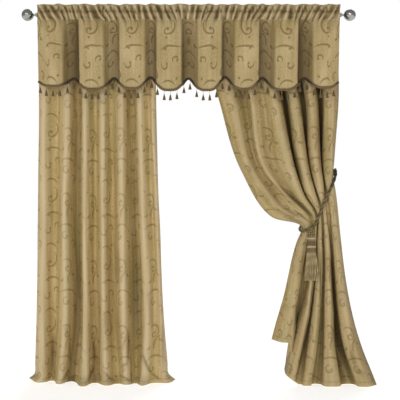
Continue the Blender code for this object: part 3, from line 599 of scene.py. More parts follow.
def flat_map(points, width, length):
    """Place of each point on the flat cloth: across from the first edge, and up from the hem."""
    hops = np.linalg.norm(np.diff(points, axis=1), axis=2).mean(axis=0)
    across = np.concatenate([[0.0], np.cumsum(hops)])
    across *= width / across[-1]
    drops = np.linalg.norm(np.diff(points, axis=0), axis=2)
    down = np.vstack([np.zeros(points.shape[1]), np.cumsum(drops, axis=0)])
    up = length * (1.0 - down / down[-1])
    return np.broadcast_to(across, up.shape), up


def recess(points, reach, full):
    """How far each point lies behind the folds beside it, from 0 to 1."""
    depth = points[:, :, 1]
    front = depth.copy()
    for shift in range(1, reach + 1):
        front[:, shift:] = np.minimum(front[:, shift:], depth[:, :-shift])
        front[:, :-shift] = np.minimum(front[:, :-shift], depth[:, shift:])
    return np.clip((depth - front) / full, 0.0, 1.0)


def crease(points, tone, creases):
    """Press soft creases into a cloth, seen from the front, and paint shade along them."""
    near = VIEW_DISTANCE / (points[:, :, 1] - CAMERA[1])
    x = CAMERA[0] + (points[:, :, 0] - CAMERA[0]) * near
    height = ROD_HEIGHT + CAMERA[2] + (points[:, :, 2] - CAMERA[2]) * near
    for _, start_x, start, end_x, end, width, depth, shade in creases:
        run = end_x - start_x
        rise = end - start
        along = ((x - start_x) * run + (height - start) * rise) / (run * run + rise * rise)
        held = np.clip(along, 0.0, 1.0)
        away = np.hypot(x - start_x - held * run, height - start - held * rise)
        press = np.exp(-(away / width) ** 2) * np.sqrt(np.sin(math.pi * np.clip(held, 0.01, 0.99)))
        points[:, :, 1] += depth * press
        # Painted shade along the crease.
        np.maximum(tone, shade * press, out=tone)


def point_values(mesh, name, values):
    layer = mesh.attributes.new(name, "FLOAT", "POINT")
    layer.data.foreach_set("value", values.ravel().astype(np.float32))


def finish_mesh(mesh, *materials):
    """Smooth a mesh, give it its materials and put it in the scene, selected and active."""
    mesh.shade_smooth()
    for material in materials:
        mesh.materials.append(material)
    thing = bpy.data.objects.new(mesh.name, mesh)
    bpy.context.scene.collection.objects.link(thing)
    bpy.ops.object.select_all(action="DESELECT")
    thing.select_set(True)
    bpy.context.view_layer.objects.active = thing
    return thing


def cloth_sheet(name, points, across, up, tone, crest, front):
    """A closed sheet of cloth from its middle surface, mapped by its place on the flat cloth."""
    rows, columns = points.shape[:2]
    corner = (np.arange(rows - 1)[:, None] * columns + np.arange(columns - 1)).ravel()
    faces = np.stack([corner, corner + columns, corner + columns + 1, corner + 1], axis=1)
    mesh = bpy.data.meshes.new(name)
    mesh.from_pydata(points.reshape(-1, 3).tolist(), [], faces.tolist())
    layer = mesh.uv_layers.new(name="cloth")
    flat = np.stack([across.ravel(), up.ravel()], axis=1)
    layer.data.foreach_set("uv", flat[faces.ravel()].ravel().astype(np.float32))
    # The painted shade of the hollows and the painted sheen of the crests, which its material reads.
    point_values(mesh, "fold_shade", tone)
    point_values(mesh, "fold_crest", crest)
    thing = finish_mesh(mesh, front, once("blackout_reverse", plain_reverse))
    wall = thing.modifiers.new("cloth", "SOLIDIFY")
    wall.thickness = sizes().cloth
    wall.offset = 0.0
    wall.material_offset = 1
    bpy.ops.object.modifier_apply(modifier=wall.name)
    return thing


def ring_angles(count):
    """Angles of evenly spaced corners round a ring."""
    return TURN * np.arange(count) / count


def tube_mesh(centres, radii):
    """Points and faces of a closed tube; radii holds one radius for each ring and side."""
    count, sides = radii.shape
    ahead = np.gradient(centres, axis=0)
    ahead /= np.linalg.norm(ahead, axis=1, keepdims=True)
    side = np.array((0.0, 1.0, 0.0))
    angles = ring_angles(sides)
    points = []
    for ring in range(count):
        side = side - ahead[ring] * side.dot(ahead[ring])
        side /= np.linalg.norm(side)
        up = np.cross(ahead[ring], side)
        outward = np.outer(np.cos(angles), side) + np.outer(np.sin(angles), up)
        points.append(centres[ring] + outward * radii[ring][:, None])
    faces = [tuple(range(sides - 1, -1, -1))]
    for ring in range(count - 1):
        for corner in range(sides):
            a = ring * sides + corner
            b = ring * sides + (corner + 1) % sides
            faces.append((a, b, b + sides, a + sides))
    faces.append(tuple(range((count - 1) * sides, count * sides)))
    return np.concatenate(points), faces


def even_route(points, spacing):
    """The same route with its points evenly spaced, and its length."""
    along = distances(points)
    targets = np.linspace(0.0, along[-1], max(int(round(along[-1] / spacing)), 2) + 1)
    return np.stack([np.interp(targets, along, points[:, axis]) for axis in range(3)], axis=1), along[-1]


class MeshPile:
    """Gathers many small closed shapes into one mesh."""

    def __init__(self):
        self.points = []
        self.faces = []
        self.twists = []
        self.count = 0

    def tube(self, centres, radii, twist=None):
        """Add a closed tube; its twist is 1 on crests and 0 in grooves."""
        points, faces = tube_mesh(centres, radii)
        self.add(points, faces, twist)

    def add(self, points, faces, twist=None):
        self.points.append(points)
        self.twists.append(np.ones(len(points)) if twist is None else twist)
        self.faces += [tuple(index + self.count for index in face) for face in faces]
        self.count += len(points)

    def twisted(self, route, radii):
        """Add a twisted cord whose grooves are told apart from its crests."""
        low, high = radii.min(), radii.max()
        self.tube(route, radii, np.clip((radii - low) / (high - low), 0.0, 1.0).ravel())

    def strand(self, route, radius, sides, twist, groove=0.12):
        """Add one strand of yarn, with its twist raised on it."""
        turn = np.arange(len(route))[:, None] * twist
        self.twisted(route, radius * (1.0 - groove + groove * np.cos(2.0 * ring_angles(sides) - turn)))

    def finish(self, name, slot, yarn_name, *nodes):
        """Make the piece of all that was added, and dress it."""
        mesh = bpy.data.meshes.new(name)
        mesh.from_pydata(np.concatenate(self.points).tolist(), [], self.faces)
        point_values(mesh, "twist", np.concatenate(self.twists))
        return dress(finish_mesh(mesh, once(yarn_name, yarn)), slot, *nodes)


def turned(name, centre, axis, rows, sides, material):
    """A turned piece: a disc that is extruded and resized row by row along its axis."""
    direction = Vector(axis)
    start = Vector(centre) + direction * rows[0][1]
    bpy.ops.object.select_all(action="DESELECT")
    bpy.ops.mesh.primitive_circle_add(
        vertices=sides, radius=rows[0][2], fill_type="NGON", location=start,
        rotation=direction.to_track_quat("Z", "Y").to_euler())
    thing = bpy.context.object
    thing.name = name
    bpy.ops.object.transform_apply(location=True, rotation=True, scale=True)
    bpy.ops.object.mode_set(mode="EDIT")
    bpy.ops.mesh.select_all(action="SELECT")
    square = [1.0 if abs(value) > 0.5 else 0.0 for value in axis]
    for (_, before, last), (_, along, radius) in zip(rows, rows[1:]):
        bpy.ops.mesh.extrude_region_move(
            TRANSFORM_OT_translate={"value": direction * (along - before)})
        grow = radius / last
        bpy.ops.transform.resize(
            value=[1.0 if lies else grow for lies in square],
            center_override=Vector(centre) + direction * along)
    bpy.ops.mesh.select_all(action="SELECT")
    bpy.ops.mesh.normals_make_consistent(inside=False)
    bpy.ops.object.mode_set(mode="OBJECT")
    bpy.ops.object.shade_smooth_by_angle(angle=math.radians(40))
    thing.data.materials.append(material)
    return thing


def dress(thing, slot, *nodes):
    """Hide the nodes of the model that a piece stands for, and attach it to the root body. slot is not
    used.
    """
    if nodes:
        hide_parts(*nodes)
    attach(thing, "root")
    return thing


class Look:
    """Short calls for the shader nodes of one tree. Colours are given as three numbers."""

    def __init__(self, tree):
        self.tree = tree

    def join(self, value, socket):
        """Link an output to a socket, or set the socket to a plain value."""
        if isinstance(value, bpy.types.NodeSocket):
            self.tree.links.new(value, socket)
        else:
            socket.default_value = (*value, 1.0) if socket.type == "RGBA" else value

    def add(self, kind, *values, **settings):
        """A new node with its settings, and the values of its first sockets."""
        node = self.tree.nodes.new("ShaderNode" + kind)
        for name, value in settings.items():
            setattr(node, name, value)
        for value, socket in zip(values, node.inputs):
            self.join(value, socket)
        return node

    def math(self, operation, *values):
        return self.add("Math", *values, operation=operation).outputs[0]

    def times(self, first, second):
        return self.math("MULTIPLY", first, second)

    def less(self, first, second):
        return self.math("SUBTRACT", first, second)

    def fraction(self, value, low, high, to_low=0.0, to_high=1.0):
        """Map a value smoothly from one range to another, held at both ends."""
        return self.add("MapRange", value, low, high, to_low, to_high,
                        interpolation_type="SMOOTHSTEP").outputs[0]

    def blend(self, factor, first, second, kind="MIX"):
        node = self.add("Mix", factor, data_type="RGBA", blend_type=kind)
        self.join(first, node.inputs[6])
        self.join(second, node.inputs[7])
        return node.outputs[2]

    def tinted(self, tone, grain, start, full, share, colour):
        """The tone with a share of another colour, coming in as a grain goes from start to full."""
        return self.blend(self.fraction(grain, start, full, 0.0, share), tone, colour)

    def grain(self, where, stretch, detail=3.0, roughness=0.55):
        """Noise on stretched coordinates."""
        mapping = self.add("Mapping", where)
        mapping.inputs["Scale"].default_value = stretch
        node = self.add("TexNoise", mapping.outputs[0])
        for name, value in (("Scale", 1.0), ("Detail", detail), ("Roughness", roughness)):
            node.inputs[name].default_value = value
        return node.outputs["Fac"]

    def of_point(self, name):
        """A value that the mesh holds at its points."""
        return self.add("Attribute", attribute_name=name).outputs["Fac"]

    def in_object(self):
        return self.add("TexCoord").outputs["Object"]

    def on_cloth(self):
        """Place on the flat cloth, and its two parts: across and up."""
        flat = self.add("UVMap", uv_map="cloth").outputs[0]
        split = self.add("SeparateXYZ", flat).outputs
        return flat, split[0], split[1]

    def weave(self, across, up, pitch):
        """Fine crossing ribs of the weave."""
        warp = self.math("SINE", self.times(across, TURN / pitch))
        weft = self.math("SINE", self.times(up, TURN / pitch))
        return self.times(warp, weft)

    def bump(self, height, distance, strength, under=None):
        node = self.add("Bump")
        node.inputs["Distance"].default_value = distance
        node.inputs["Strength"].default_value = strength
        self.join(height, node.inputs["Height"])
        if under is not None:
            self.join(under, node.inputs["Normal"])
        return node.outputs[0]


class Finish(Look):
    """A new material with its tree and its shader."""

    def __init__(self, name, roughness, metallic=0.0, sheen=0.0, specular=0.30):
        self.material = bpy.data.materials.new(name)
        self.material.use_nodes = True
        super().__init__(self.material.node_tree)
        self.sockets = self.tree.nodes["Principled BSDF"].inputs
        for name, value in (("Roughness", roughness), ("Metallic", metallic), ("Sheen Weight", sheen),
                            ("Sheen Roughness", 0.45), ("Specular IOR Level", specular)):
            self.sockets[name].default_value = value

    def done(self, tone, normal=None, roughness=None):
        """The material, with its tone, relief and roughness linked to the shader."""
        for name, value in (("Base Color", tone), ("Normal", normal), ("Roughness", roughness)):
            if value is not None:
                self.join(value, self.sockets[name])
        return self.material


def scroll_stroke_group():
    """One arc of the woven scroll on the repeating cloth: 1 on its thread, 0 off it."""
    name = "woven_scroll_stroke"
    if name in bpy.data.node_groups:
        return bpy.data.node_groups[name]
    group = bpy.data.node_groups.new(name, "ShaderNodeTree")
    for label in ("Across", "Up", "Centre X", "Centre Y", "Radius", "Middle", "Half Sweep",
                  "Half Width", "Swell"):
        group.interface.new_socket(label, in_out="INPUT", socket_type="NodeSocketFloat")
    group.interface.new_socket("Thread", in_out="OUTPUT", socket_type="NodeSocketFloat")
    look = Look(group)
    entry = group.nodes.new("NodeGroupInput").outputs
    width, height = REPEAT
    x = look.math("WRAP", look.less(entry["Across"], entry["Centre X"]), width, 0.0)
    x = look.less(x, width / 2)
    y = look.less(entry["Up"], entry["Centre Y"])
    y = look.math("WRAP", y, height / 2, -height / 2)
    squares = look.math("ADD", look.times(x, x), look.times(y, y))
    away = look.math("ABSOLUTE", look.less(look.math("SQRT", squares), entry["Radius"]))
    angle = look.less(look.math("ARCTAN2", y, x), entry["Middle"])
    along = look.math("DIVIDE", look.math("WRAP", angle, math.pi, -math.pi), entry["Half Sweep"])
    taper = look.less(1.0, look.math("POWER", look.math("ABSOLUTE", along), 2.5))
    swell = look.math("MAXIMUM", look.math("MULTIPLY_ADD", along, entry["Swell"], 1.0), 0.1)
    half = look.times(look.times(taper, swell), entry["Half Width"])
    thread = look.fraction(look.less(half, away), -0.0032, 0.0012)
    look.join(thread, group.nodes.new("NodeGroupOutput").inputs["Thread"])
    return group


def scrolls(look, across, up):
    """The whole woven scroll: the strongest of its strokes at each place."""
    group = scroll_stroke_group()
    total = 0.0
    for _, x, y, radius, half, middle, sweep, swell in SCROLLS:
        # A dot is an arc of no radius, which has to be as wide all round.
        sweep = math.radians(sweep) if radius else 1000.0
        stroke = look.add("Group", across, up, x, y, radius, math.radians(middle), sweep, half, swell,
                          node_tree=group)
        total = look.math("MAXIMUM", total, stroke.outputs["Thread"])
    return total


def jacquard(name, shade, crest, scroll, gain=1.0, streaks=1.0, seam=None):
    """Satin jacquard: a mottled two-tone ground with a darker scroll woven into it.

    shade, crest and scroll are the shares of the painted shade in the hollows, of the painted
    sheen on the crests and of the scroll's colour. gain brightens this copy of the cloth as a whole,
    as painted light. A seam is a row of machine stitches at its height on the flat cloth.
    """
    tint = colours()
    look = Finish(name, 0.50, sheen=0.05, specular=0.18)
    flat, across, up = look.on_cloth()
    streak, mottle, slub, cast, fleck = [
        look.grain(flat, *GRAINS[grain]) for grain in ("streak", "mottle", "slub", "cast", "fleck")]
    share = 0.2 + 0.4 * streaks
    pale = look.math("ADD", look.times(streak, share), look.times(mottle, 1.0 - share))
    ground = look.blend(look.fraction(pale, 0.36, 0.66), tint.ground, tint.light)
    ground = look.tinted(ground, cast, 0.50, 0.62, 0.75 * streaks, tint.olive)
    ground = look.tinted(ground, cast, 0.46, 0.35, 0.75 * streaks, tint.russet)
    ground = look.blend(look.times(slub, 0.26), ground, tint.scroll)
    ground = look.tinted(ground, fleck, 0.52, 0.68, 0.34, tint.scroll)
    ground = look.tinted(ground, fleck, 0.47, 0.32, 0.60, tint.crest)
    # Painted light: the gain brightens this copy of the cloth as a whole.
    ground = look.blend(1.0, ground, (gain, gain, gain), "MULTIPLY")
    # Painted sheen along the crests of the folds, varying with the streaks.
    painted_sheen = look.times(look.of_point("fold_crest"), crest)
    painted_sheen = look.times(painted_sheen, look.fraction(streak, 0.30, 0.60, 0.6, 1.0))
    ground = look.blend(painted_sheen, ground, tint.crest)
    motif = look.times(scrolls(look, across, up), scroll)
    motif = look.times(motif, look.fraction(painted_sheen, 0.0, 1.0, 1.0, 0.5))
    cloth = look.blend(motif, ground, tint.scroll)
    relief = look.weave(across, up, 0.0022)
    if seam is not None:
        away = look.math("ABSOLUTE", look.less(up, seam))
        stitches = look.fraction(away, STITCH_HALF, 0.0)
        cloth = look.blend(look.times(stitches, 0.42), cloth, tint.shade)
        relief = look.less(relief, look.times(stitches, 3.0))
    # Painted shade deep in the hollows between the folds.
    cloth = look.blend(look.times(look.of_point("fold_shade"), shade), cloth, tint.shade)
    raised = look.bump(relief, 0.00022, 0.6, look.bump(motif, 0.0011, 0.7))
    return look.done(cloth, raised, look.fraction(motif, 0.0, 1.0, 0.48, 0.66))


def plain_reverse(name):
    """The plain blackout side of the cloth: a close dull weave."""
    tint = colours()
    look = Finish(name, 0.80, sheen=0.15)
    flat, across, up = look.on_cloth()
    slub = look.grain(flat, *GRAINS["reverse_slub"])
    mottle = look.grain(flat, *GRAINS["reverse_mottle"])
    cloth = look.blend(mottle, tint.ground, tint.light)
    cloth = look.blend(look.times(slub, 0.35), cloth, tint.scroll)
    return look.done(cloth, look.bump(look.weave(across, up, 0.0018), 0.0002, 0.5))


def yarn(name):
    """Twisted yarn: fine strands of darker and paler fibre, darker above a given height."""
    body, gain, hollow, dark, glint, light, stretch, roughness, darkens = YARNS[name]
    body, hollow, glint = [
        [min(value * times, 1.0) for value in getattr(colours(), colour)]
        for colour, times in ((body, gain), (hollow, dark), (glint, light))]
    look = Finish(name, roughness, sheen=0.10)
    where = look.in_object()
    fibre = look.grain(where, stretch, 3.0, 0.6)
    patch = look.grain(where, (60.0, 60.0, 60.0), 2.0)
    crest = look.of_point("twist")
    tone = look.blend(look.fraction(fibre, 0.30, 0.55, 0.55, 1.0), hollow, body)
    # Painted glints on the crests of the twist, in patches.
    shine = look.times(look.fraction(crest, 0.55, 1.0), look.fraction(patch, 0.35, 0.70, 0.25, 0.85))
    tone = look.blend(shine, tone, glint)
    # Painted shade in the grooves of the twist.
    tone = look.tinted(tone, crest, 0.60, 0.05, 0.9, hollow)
    if darkens:
        height = look.add("SeparateXYZ", where).outputs[2]
        start, end = darkens
        tone = look.tinted(tone, height, start - ROD_HEIGHT, end - ROD_HEIGHT, 1.0, hollow)
    return look.done(tone, look.bump(fibre, 0.0006, 0.8))


def pewter(name):
    """Satin pewter with faint turning marks and a little tarnish."""
    bright = colours().pewter
    look = Finish(name, 0.26, metallic=1.0, specular=0.5)
    where = look.in_object()
    marks = look.grain(where, (900.0, 60.0, 60.0))
    patch = look.grain(where, (30.0, 30.0, 30.0))
    tone = look.blend(look.fraction(patch, 0.42, 0.68), bright, [value * 0.62 for value in bright])
    return look.done(tone, look.bump(marks, 0.00008, 0.5), look.fraction(patch, 0.3, 0.7, 0.20, 0.36))


def once(name, make, **details):
    """A material by its name, made the first time it is asked for."""
    return bpy.data.materials.get(name) or make(name, **details)


def gather_phase(share):
    """Phase of the puckers at a share of the heading: unevenly spaced, one turn a pucker."""
    random = np.random.default_rng(11)
    phase = TURN * sizes().puckers * share
    for cycles in (5, 9, 14, 23, 37):
        sway = random.uniform(0.5, 1.0) * 14.0 / (cycles + 14.0)
        phase += sway * np.sin(TURN * cycles * share + random.uniform(0.0, TURN))
    return phase


def puckers(share, rise):
    """Crests of the puckers along the heading and the painted shade of their hollows, leaning with their
    rise.

    Also gives their phase and how full each is. Waves of unlike periods make each of them lean,
    swell and take its spots of painted shade in its own way.
    """
    turn = TURN * share
    lean = 0.42 * np.tanh((0.5 - share) * 9.0) + 0.16 * np.sin(turn * 5.0 + 0.4)
    lean += 0.10 * np.sin(turn * 13.0 + 2.1)
    fall = np.maximum(rise - SEAM_RISE, -0.070)
    phase = gather_phase(share + lean * fall / (2.0 * VALANCE_HALF))
    vary = 0.72 + 0.24 * np.sin(phase * 0.37 + 1.0 + rise * 55.0) + 0.12 * np.sin(phase * 0.127)
    # Spots of painted shade in the hollows along a line just below the seam.
    pinch_shade = np.exp(-((rise - PINCH_SHADE_RISE) / PINCH_SHADE_WIDTH) ** 2)
    pinch_shade = pinch_shade * (0.5 + 0.5 * np.sin(phase * 1.61 + 2.0)) ** 2
    fold = np.abs(np.cos(phase / 2))
    fine = np.abs(np.cos(phase * 0.93 + 0.7)) ** 0.8
    crest = 0.75 * fold ** 0.7 * vary + 0.25 * fine
    hollow = 1.55 * vary * (1.0 - fold) + 0.60 * (1.0 - fine) ** 2 + 1.10 * pinch_shade
    return crest, np.clip(hollow, 0.0, 1.0), phase, vary


def lobe_reach(x):
    """How far the lobes of the valance stand forward of its recesses."""
    flank = sizes().flank
    reach = np.zeros_like(x)
    for _, left, right, forward, _ in LOBES:
        left_flank = flank if left < SOFT_TOWARDS else SOFT_FLANK
        right_flank = SOFT_FLANK if right < SOFT_TOWARDS else flank
        rise = step((x - left) / left_flank + 0.5) * step((right - x) / right_flank + 0.5)
        across = np.clip((x - left) / (right - left), 0.0, 1.0)
        crown = 1.0 - CROWN + CROWN * np.sin(math.pi * across)
        reach = np.maximum(reach, forward * rise * crown)
    return reach


def hem_height(x):
    """Height of the scalloped hem above the floor."""
    height = np.empty_like(x)
    for (*_, low), start, end in zip(LOBES, ARCHES, ARCHES[1:]):
        here = (x >= start[1]) & (x <= end[1])
        half = (end[1] - start[1]) / 2
        before = x[here] < start[1] + half
        arch_x = np.where(before, start[1], end[1])
        arch_top = np.where(before, start[2], end[2])
        away = np.hypot((x[here] - arch_x) / half, ARCH_ROUND)
        near = np.maximum(1.0 - away, 0.0) / (1.0 - ARCH_ROUND)
        height[here] = low + (arch_top - low) * near ** LOBE_FULL
    return height


def valance_columns():
    """Shares of the valance's width at which its columns stand, and their places across."""
    share = np.linspace(0.0, 1.0, sizes().puckers * COLUMNS_A_PUCKER + 1)
    return share, VALANCE_HALF * (2.0 * share - 1.0)


def valance_surface():
    """Middle surface of the valance, row by row from its back hem to its scalloped hem.

    Also gives how many rows the heading has, and the painted shade of the hollows between the puckers.
    """
    size = sizes()
    share, x = valance_columns()
    lobes = lobe_reach(x)
    rows = []
    shades = []
    for _, rise, depth, sway, pinched, shade, reach in HEADING:
        crest, hollow, phase, vary = puckers(share, rise)
        wave = np.sin(phase * 0.5 + 0.6 * np.sin(phase * 0.21)) * vary
        lift = 0.0018 * np.cos(phase * 0.5) + 0.0016 * np.sin(phase * 0.27 + 2.0)
        out = depth + sway * size.ruffle_wave * wave - reach * lobes
        out -= pinched * size.gather_depth * crest
        rows.append(np.stack([x * (1.0 + RUFFLE_FLARE * sway), out, rise + sway * lift], axis=1))
        # Painted shade in the hollows of the puckers.
        shades.append(shade * hollow)
    head = through(np.array(rows), HEADING_SPAN, 0.9)
    spots = np.arange(len(head)) / HEADING_SPAN
    low = np.minimum(spots.astype(int), len(rows) - 2)
    part = (spots - low)[:, None]
    shades = np.array(shades)
    tone = shades[low] * (1.0 - part) + shades[low + 1] * part
    top = HEADING[-1][1]
    fall = hem_height(x) - ROD_HEIGHT - top
    knots = np.array([[(drop, inset, reach), (drop, fade, 0.0)] for _, drop, inset, reach, fade in SKIRT])
    skirt = []
    shades = []
    for (drop, inset, reach), (_, fade, _) in through(knots, SKIRT_SPAN)[1:]:
        taper = 1.0 + (VALANCE_TAPER - 1.0) * math.sqrt(drop)
        rise = top + fall * drop
        crest, hollow, _, _ = puckers(share, rise)
        out = -inset - reach * lobes - fade * size.gather_depth * crest
        skirt.append(np.stack([x * taper, out, rise], axis=1))
        shades.append(hollow)
    # The painted shade of the puckers' hollows fades out down the skirt.
    fades = np.clip(1.0 - np.arange(1, len(skirt) + 1) / (1.9 * SKIRT_SPAN), 0.0, 1.0)
    tone = np.concatenate([tone, fades[:, None] ** 1.2 * np.array(shades)])
    return np.concatenate([head, np.array(skirt)]), len(head), tone


class CURTAIN_OT_valance(bpy.types.Operator):
    """Add the gathered valance: pocket, standing ruffle and scalloped skirt in one cloth"""
    bl_idname = "curtain.valance"
    bl_label = "Valance"

    def execute(self, context):
        points, head_rows, hollows = valance_surface()
        _, up = flat_map(points, *VALANCE_FLAT)
        along = distances(points[head_rows + 2 * SKIRT_SPAN])
        across = np.broadcast_to(self.repeats(along), up.shape)
        fade = np.zeros(len(points))
        fade[head_rows:] = np.linspace(0.3, 1.0, len(points) - head_rows)
        bend = waves(across, up, 3, *VALANCE_WAVES) * fade[:, None] * sizes().wrinkle * 0.5
        points = points + grid_normals(points) * bend[:, :, None]
        # Painted shade in the recesses behind the lobes and in the hollows of the puckers.
        tone = recess(points, VALANCE_REACH, LOBE_HOLLOW)
        tone[:head_rows] = 0.0
        below = np.arange(len(points) - head_rows)[:, None]
        # The painted shade comes in below the pocket, darkest on the side of a recess nearer the middle and
        # darker still just under the pocket.
        tone[head_rows:] *= step(below / SHADE_ROWS) * self.side_shade()
        tone[head_rows:] *= 1.0 + DARKER * (1.0 - step(below / DARK_ROWS))
        tone = np.clip(np.maximum(tone, hollows), 0.0, 1.0)
        # Painted sheen: paler where there is no painted shade, more so lower down, and strongest on the
        # crests of the pocket's puckers.
        crest = SKIRT_SHEEN * (1.0 - tone) * np.linspace(0.3, 1.0, len(points))[:, None]
        painted_sheen = head_rows + SHEEN_ROWS
        crest[:painted_sheen] = POCKET_SHEEN * (1.0 - tone[:painted_sheen]) ** 2
        front = once("jacquard_valance", jacquard, shade=0.94, crest=0.50, scroll=0.74, gain=1.03,
                     streaks=0.25)
        cloth = cloth_sheet("valance_cloth", points, across, up, tone, crest, front)
        dress(cloth, "jacquard", "valance")
        return {"FINISHED"}

    def repeats(self, along):
        """Place across the flat cloth with a repeat on each lobe, mirrored at the middle."""
        _, x = valance_columns()
        middles = [(left + right) / 2 for _, left, right, _, _ in LOBES]
        marks = [-VALANCE_HALF, *middles[:4], 0.0, *middles[4:], VALANCE_HALF]
        spots = np.array([0.0, 0.5, 1.5, 2.5, 3.5, 4.0, 3.5, 2.5, 1.5, 0.5, 0.0])
        return np.interp(along, np.interp(marks, x, along), spots * REPEAT[0])

    def side_shade(self):
        """How dark the painted shade of each recess is along its width: darkest on the side nearer the
        middle.
        """
        _, x = valance_columns()
        shade = np.ones_like(x)
        for lobe, following, (*_, dark) in zip(LOBES, LOBES[1:], ARCHES[1:]):
            start, end = lobe[2], following[1]
            here = (x > start) & (x < end)
            t = (x[here] - start) / (end - start)
            t = t if start + end < 0.0 else 1.0 - t
            shade[here] = dark * (0.66 + 0.46 * t * t)
        return shade


def hem_line():
    """The valance's hem, one point for each of its columns."""
    _, x = valance_columns()
    _, _, inset, reach, _ = SKIRT[-1]
    return np.stack([x * VALANCE_TAPER, -inset - reach * lobe_reach(x), hem_height(x) - ROD_HEIGHT], axis=1)


def hung(top, drops):
    """Points straight below others, at the given drops."""
    return top - np.outer(drops, (0.0, 0.0, 1.0))


def small_tassel(bells, threads, root, random):
    """One small tassel on its thread: a whipped neck and a bell of cut yarn."""
    sides = 14
    sway = random.uniform(-0.0016, 0.0016, 2)
    thread = hung(root, THREAD_DROPS)
    thread[:, :2] += np.outer(np.linspace(0.0, 1.0, len(thread)), sway)
    threads.tube(thread, np.full((len(thread), 6), THREAD_RADIUS))
    ridges = 1.0 + 0.13 * np.cos(ring_angles(sides) * 7.0 + random.uniform(0.0, 6.0))
    radii = [radius * (ridges if drop > BELL_WAIST else np.ones(sides)) for _, drop, radius in BELL]
    points, faces = tube_mesh(hung(thread[-1], [drop for _, drop, _ in BELL]), np.array(radii))
    points[-sides:, 2] += random.uniform(-0.0022, 0.0012, sides)
    bells.add(points, faces)


class CURTAIN_OT_fringe(bpy.types.Operator):
    """Add the twisted trim along the scallops and its row of small tassels"""
    bl_idname = "curtain.fringe"
    bl_label = "Tassel Fringe"

    def execute(self, context):
        size = sizes()
        hem = hem_line()
        route, _ = even_route(hung(hem, [0.70 * size.trim]), TRIM_STEP)
        trim = MeshPile()
        trim.strand(route, size.trim, 12, 2.0 * TURN * TRIM_STEP / TRIM_LAY, 0.14)
        trim.finish("scallop_trim", "trimming", "trim_yarn", "valance_fringe")
        random = np.random.default_rng(21)
        bells = MeshPile()
        threads = MeshPile()
        for tassel in range(size.tassels):
            column = (tassel + 0.25) / size.tassels * (len(hem) - 1)
            low = int(column)
            root = hem[low] + (hem[low + 1] - hem[low]) * (column - low)
            small_tassel(bells, threads, hung(root, [1.6 * size.trim])[0], random)
        bells.finish("fringe_tassels", "trimming", "fringe_yarn")
        threads.finish("fringe_threads", "trimming", "fringe_thread")
        return {"FINISHED"}


def header_points(head_x, hang_x, hang_d, hang_height):
    """Header band behind the pocket, and the gathers that open below it down to the hang."""
    gather_x = head_x + (hang_x - head_x) * GATHER_FOLLOW
    gather_d = HEADER_DEPTH + (hang_d - HEADER_DEPTH) * GATHER_SHARE
    return [
        place(head_x, HEADER_DEPTH, HEADER_TOP),
        place(head_x, HEADER_DEPTH, HEADER_BAND),
        place(gather_x, gather_d, GATHER_HEIGHT),
        place(hang_x, hang_d, hang_height),
    ]


def panel(name, lines, steps, columns, pull, seed, wrinkled, creases, hollow, lit, crest_hollow, **look):
    """Cloth of a panel through its lines, with header puckers and soft wrinkles.

    hollow is the depth behind the folds at which the cloth's painted shade is darkest, lit the share
    of it that stays without painted shade, and crest_hollow the depth at which the painted sheen of
    the crests ends. wrinkled gives how strong the wrinkles are at each height.
    """
    size = sizes()
    rows = through(lines, steps)
    points = through(rows.transpose(1, 0, 2), columns, pull).transpose(1, 0, 2)
    across, up = flat_map(points, *PANEL_FLAT)
    height = points[:, :, 2] + ROD_HEIGHT
    above = step((height - GATHER_HEIGHT + GATHER_FADE) / (HEADER_TOP - GATHER_HEIGHT))
    pucker = 0.5 - 0.5 * np.cos(TURN * across / PUCKER_PITCH + np.sin(across * 31.0))
    points[:, :, 1] += above * pucker * PUCKER_DEPTH
    soft = waves(across, up, seed, *SOFT_WAVES)
    fine = waves(across, up, seed + 1, *FINE_WAVES)
    bend = (soft + 0.35 * fine) * size.wrinkle * (1.0 - above) * wrinkled(height)
    points += grid_normals(points) * bend[:, :, None]
    points[:, :, 2] = np.maximum(points[:, :, 2], FLOOR + size.cloth)
    # Painted shade in the hollows behind the folds.
    tone = np.clip((recess(points, PANEL_REACH, hollow) - lit) / (1.0 - lit), 0.0, 1.0)
    crease(points, tone, creases)
    # Painted sheen on the crests of the folds, none on the header.
    crest = (1.0 - recess(points, CREST_REACH, crest_hollow)) ** 1.5 * (1.0 - above)
    front = once("jacquard_" + name, jacquard, scroll=0.58, seam=HEM_FOLD, **look)
    return dress(cloth_sheet(name + "_cloth", points, across, up, tone, crest, front), "jacquard", name)


class CURTAIN_OT_straight_panel(bpy.types.Operator):
    """Add the straight panel with its folds and the hem that breaks on the floor"""
    bl_idname = "curtain.straight_panel"
    bl_label = "Straight Panel"

    def execute(self, context):
        lines = []
        for _, head_x, hang_x, hang_d, *lower in LEFT_FOLDS:
            line = header_points(head_x, hang_x, hang_d, LEFT_HEIGHTS[0])
            for height, x, depth in zip(LEFT_HEIGHTS[1:], lower[0::2], lower[1::2]):
                line.append(place(x, depth, height))
            low, foot = np.array(line[-3]), np.array(line[-2])
            line.insert(-2, tuple(low + (foot - low) * KNEE))
            lines.append(line)
        cloth = panel(
            "panel_left", np.array(lines).transpose(1, 0, 2), LEFT_STEPS,
            columns=12, pull=1.35, seed=31, creases=STRAIGHT_CREASES,
            wrinkled=lambda height: 1.0 + 0.7 * step((0.5 - height) / 0.5),
            hollow=0.112, lit=0.70, crest_hollow=0.045, shade=0.72, crest=0.85, gain=1.22)
        return {"FINISHED"}


